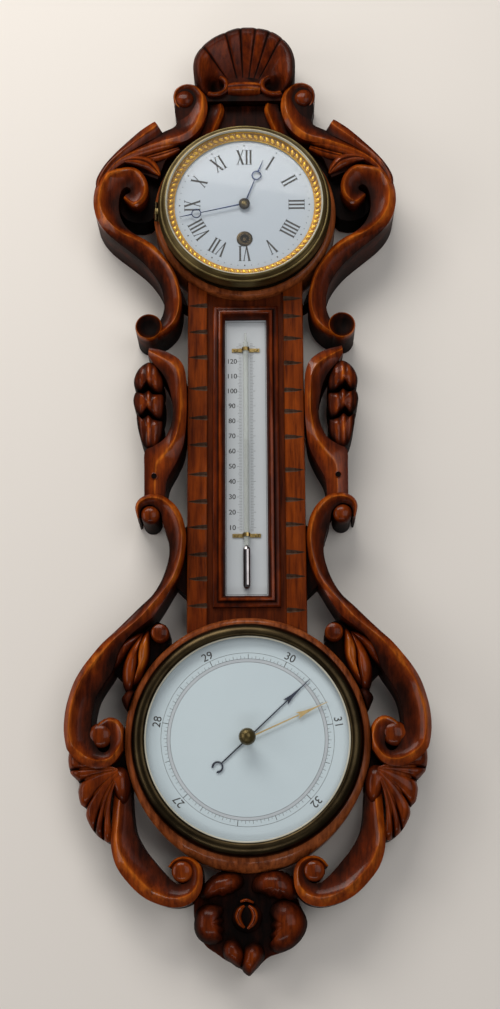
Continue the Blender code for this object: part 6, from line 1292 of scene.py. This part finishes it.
index_hand("pressure_hand_shape", "pressure", "blue_steel", 46.8, 87.5, 48.2, 36.0, 56.0)
index_hand("set_hand_shape", "set_hand", "pale_brass", 66.0, 88.8, 50.0, 0, 58.0)
COLLET = [(3.3, 68.5), (3.3, 69.2), (4.2, 69.6), (5.4, 69.3), (6.1, 68.6), (6.1, 68.35), (3.3, 68.35)]
dress(turned("minute_collet", COLLET, CLOCK_Z, steps=48), "centre", "black_steel")


# ---------------------------------------------------------------- stage, light and camera

def stage_plane():
    """A pale wall that lets light through from behind, so that the back is lit too."""
    bpy.ops.mesh.primitive_plane_add(size=6, location=(0, 0.0012, -0.45), rotation=(PI / 2, 0, 0))
    obj = bpy.context.object
    obj.name = "backdrop"
    material = bpy.data.materials.new("backdrop_paper")
    material.use_nodes = True
    tree = material.node_tree
    shader = tree.nodes["Principled BSDF"]
    shader.inputs["Base Color"].default_value = (0.80, 0.755, 0.70, 1)
    shader.inputs["Roughness"].default_value = 0.8
    out = tree.nodes["Material Output"]
    face = node(tree, "ShaderNodeNewGeometry", -400, 300)
    clear = node(tree, "ShaderNodeBsdfTransparent", -200, -200)
    choose = node(tree, "ShaderNodeMixShader", 300, 200)
    path = node(tree, "ShaderNodeLightPath", -600, 100)
    near = node(tree, "ShaderNodeMath", -400, 100, operation="LESS_THAN")
    near.inputs[1].default_value = 0.006
    either = node(tree, "ShaderNodeMath", -200, 200, operation="MAXIMUM")
    tree.links.new(path.outputs["Ray Length"], near.inputs[0])
    tree.links.new(face.outputs["Backfacing"], either.inputs[0])
    tree.links.new(near.outputs[0], either.inputs[1])
    tree.links.new(either.outputs[0], choose.inputs[0])
    tree.links.new(shader.outputs[0], choose.inputs[1])
    tree.links.new(clear.outputs[0], choose.inputs[2])
    tree.links.new(choose.outputs[0], out.inputs[0])
    obj.data.materials.append(material)


def area(name, place, target, size, power, colour=(1, 1, 1)):
    """A soft square lamp that faces its target."""
    light = bpy.data.lights.new(name, "AREA")
    light.shape = "RECTANGLE"
    light.size, light.size_y = size
    light.energy = power
    light.color = colour
    obj = bpy.data.objects.new(name, light)
    obj.location = place
    obj.rotation_euler = (Vector(target) - Vector(place)).to_track_quat("-Z", "Y").to_euler()
    bpy.context.scene.collection.objects.link(obj)


stage_plane()
area("light_top", (-0.5, -1.3, 1.0), (0, 0, -0.4), (1.6, 0.8), 25, (1.0, 0.97, 0.93))
area("light_left", (-1.7, -1.0, -0.5), (0, 0, -0.5), (0.7, 1.6), 8, (1.0, 0.96, 0.92))
area("light_front", (0.9, -2.2, -0.2), (0, 0, -0.5), (1.4, 1.4), 10)
area("light_low", (-0.2, -1.6, -2.1), (0, 0, -0.6), (1.8, 0.25), 6)

def glow(tree, colour, strength, y):
    """An even background light."""
    made = node(tree, "ShaderNodeBackground", 200, y)
    made.inputs[0].default_value = (*colour, 1)
    made.inputs[1].default_value = strength
    return made.outputs[0]


def room():
    """Soft light all round, a dim cool one for reflections, and white where the camera looks past the wall."""
    world = bpy.data.worlds.new("world")
    bpy.context.scene.world = world
    world.use_nodes = True
    tree = world.node_tree
    tree.nodes.clear()
    out = node(tree, "ShaderNodeOutputWorld", 600, 0)
    rays = node(tree, "ShaderNodeLightPath", 0, 300)
    soft = node(tree, "ShaderNodeMixShader", 300, 0)
    choose = node(tree, "ShaderNodeMixShader", 400, 0)
    tree.links.new(rays.outputs["Is Glossy Ray"], soft.inputs[0])
    tree.links.new(glow(tree, (0.80, 0.80, 0.82), 0.25, 100), soft.inputs[1])
    tree.links.new(glow(tree, (0.80, 0.84, 0.90), 0.11, 300), soft.inputs[2])
    tree.links.new(rays.outputs["Is Camera Ray"], choose.inputs[0])
    tree.links.new(soft.outputs[0], choose.inputs[1])
    tree.links.new(glow(tree, (1, 1, 1), 1.0, -100), choose.inputs[2])
    tree.links.new(choose.outputs[0], out.inputs[0])


room()


def camera_turn(pitch, yaw, roll):
    """The camera's axes as rows, from its turns in radians."""
    cp, sp, cy, sy, cr, sr = (math.cos(pitch), math.sin(pitch), math.cos(yaw), math.sin(yaw), math.cos(roll),
                              math.sin(roll))
    base = np.array([[1, 0, 0], [0, 0, 1], [0, -1, 0.0]])
    rx = np.array([[1, 0, 0], [0, cp, -sp], [0, sp, cp]])
    ry = np.array([[cy, 0, sy], [0, 1, 0], [-sy, 0, cy]])
    rz = np.array([[cr, -sr, 0], [sr, cr, 0], [0, 0, 1]])
    return rz @ ry @ rx.T @ base


camera_data = bpy.data.cameras.new("camera")
camera_data.lens = 59.876
camera_data.sensor_width = 36
camera = bpy.data.objects.new("camera", camera_data)
bpy.context.scene.collection.objects.link(camera)
axes = camera_turn(pitch=0.2585110, yaw=-0.0124167, roll=0.0093587)
camera.rotation_euler = Matrix(axes.T.tolist()).to_euler()
camera.location = (0.0257, -1.7450, -0.90648)
bpy.context.scene.camera = camera
bpy.context.scene.view_settings.view_transform = "Standard"
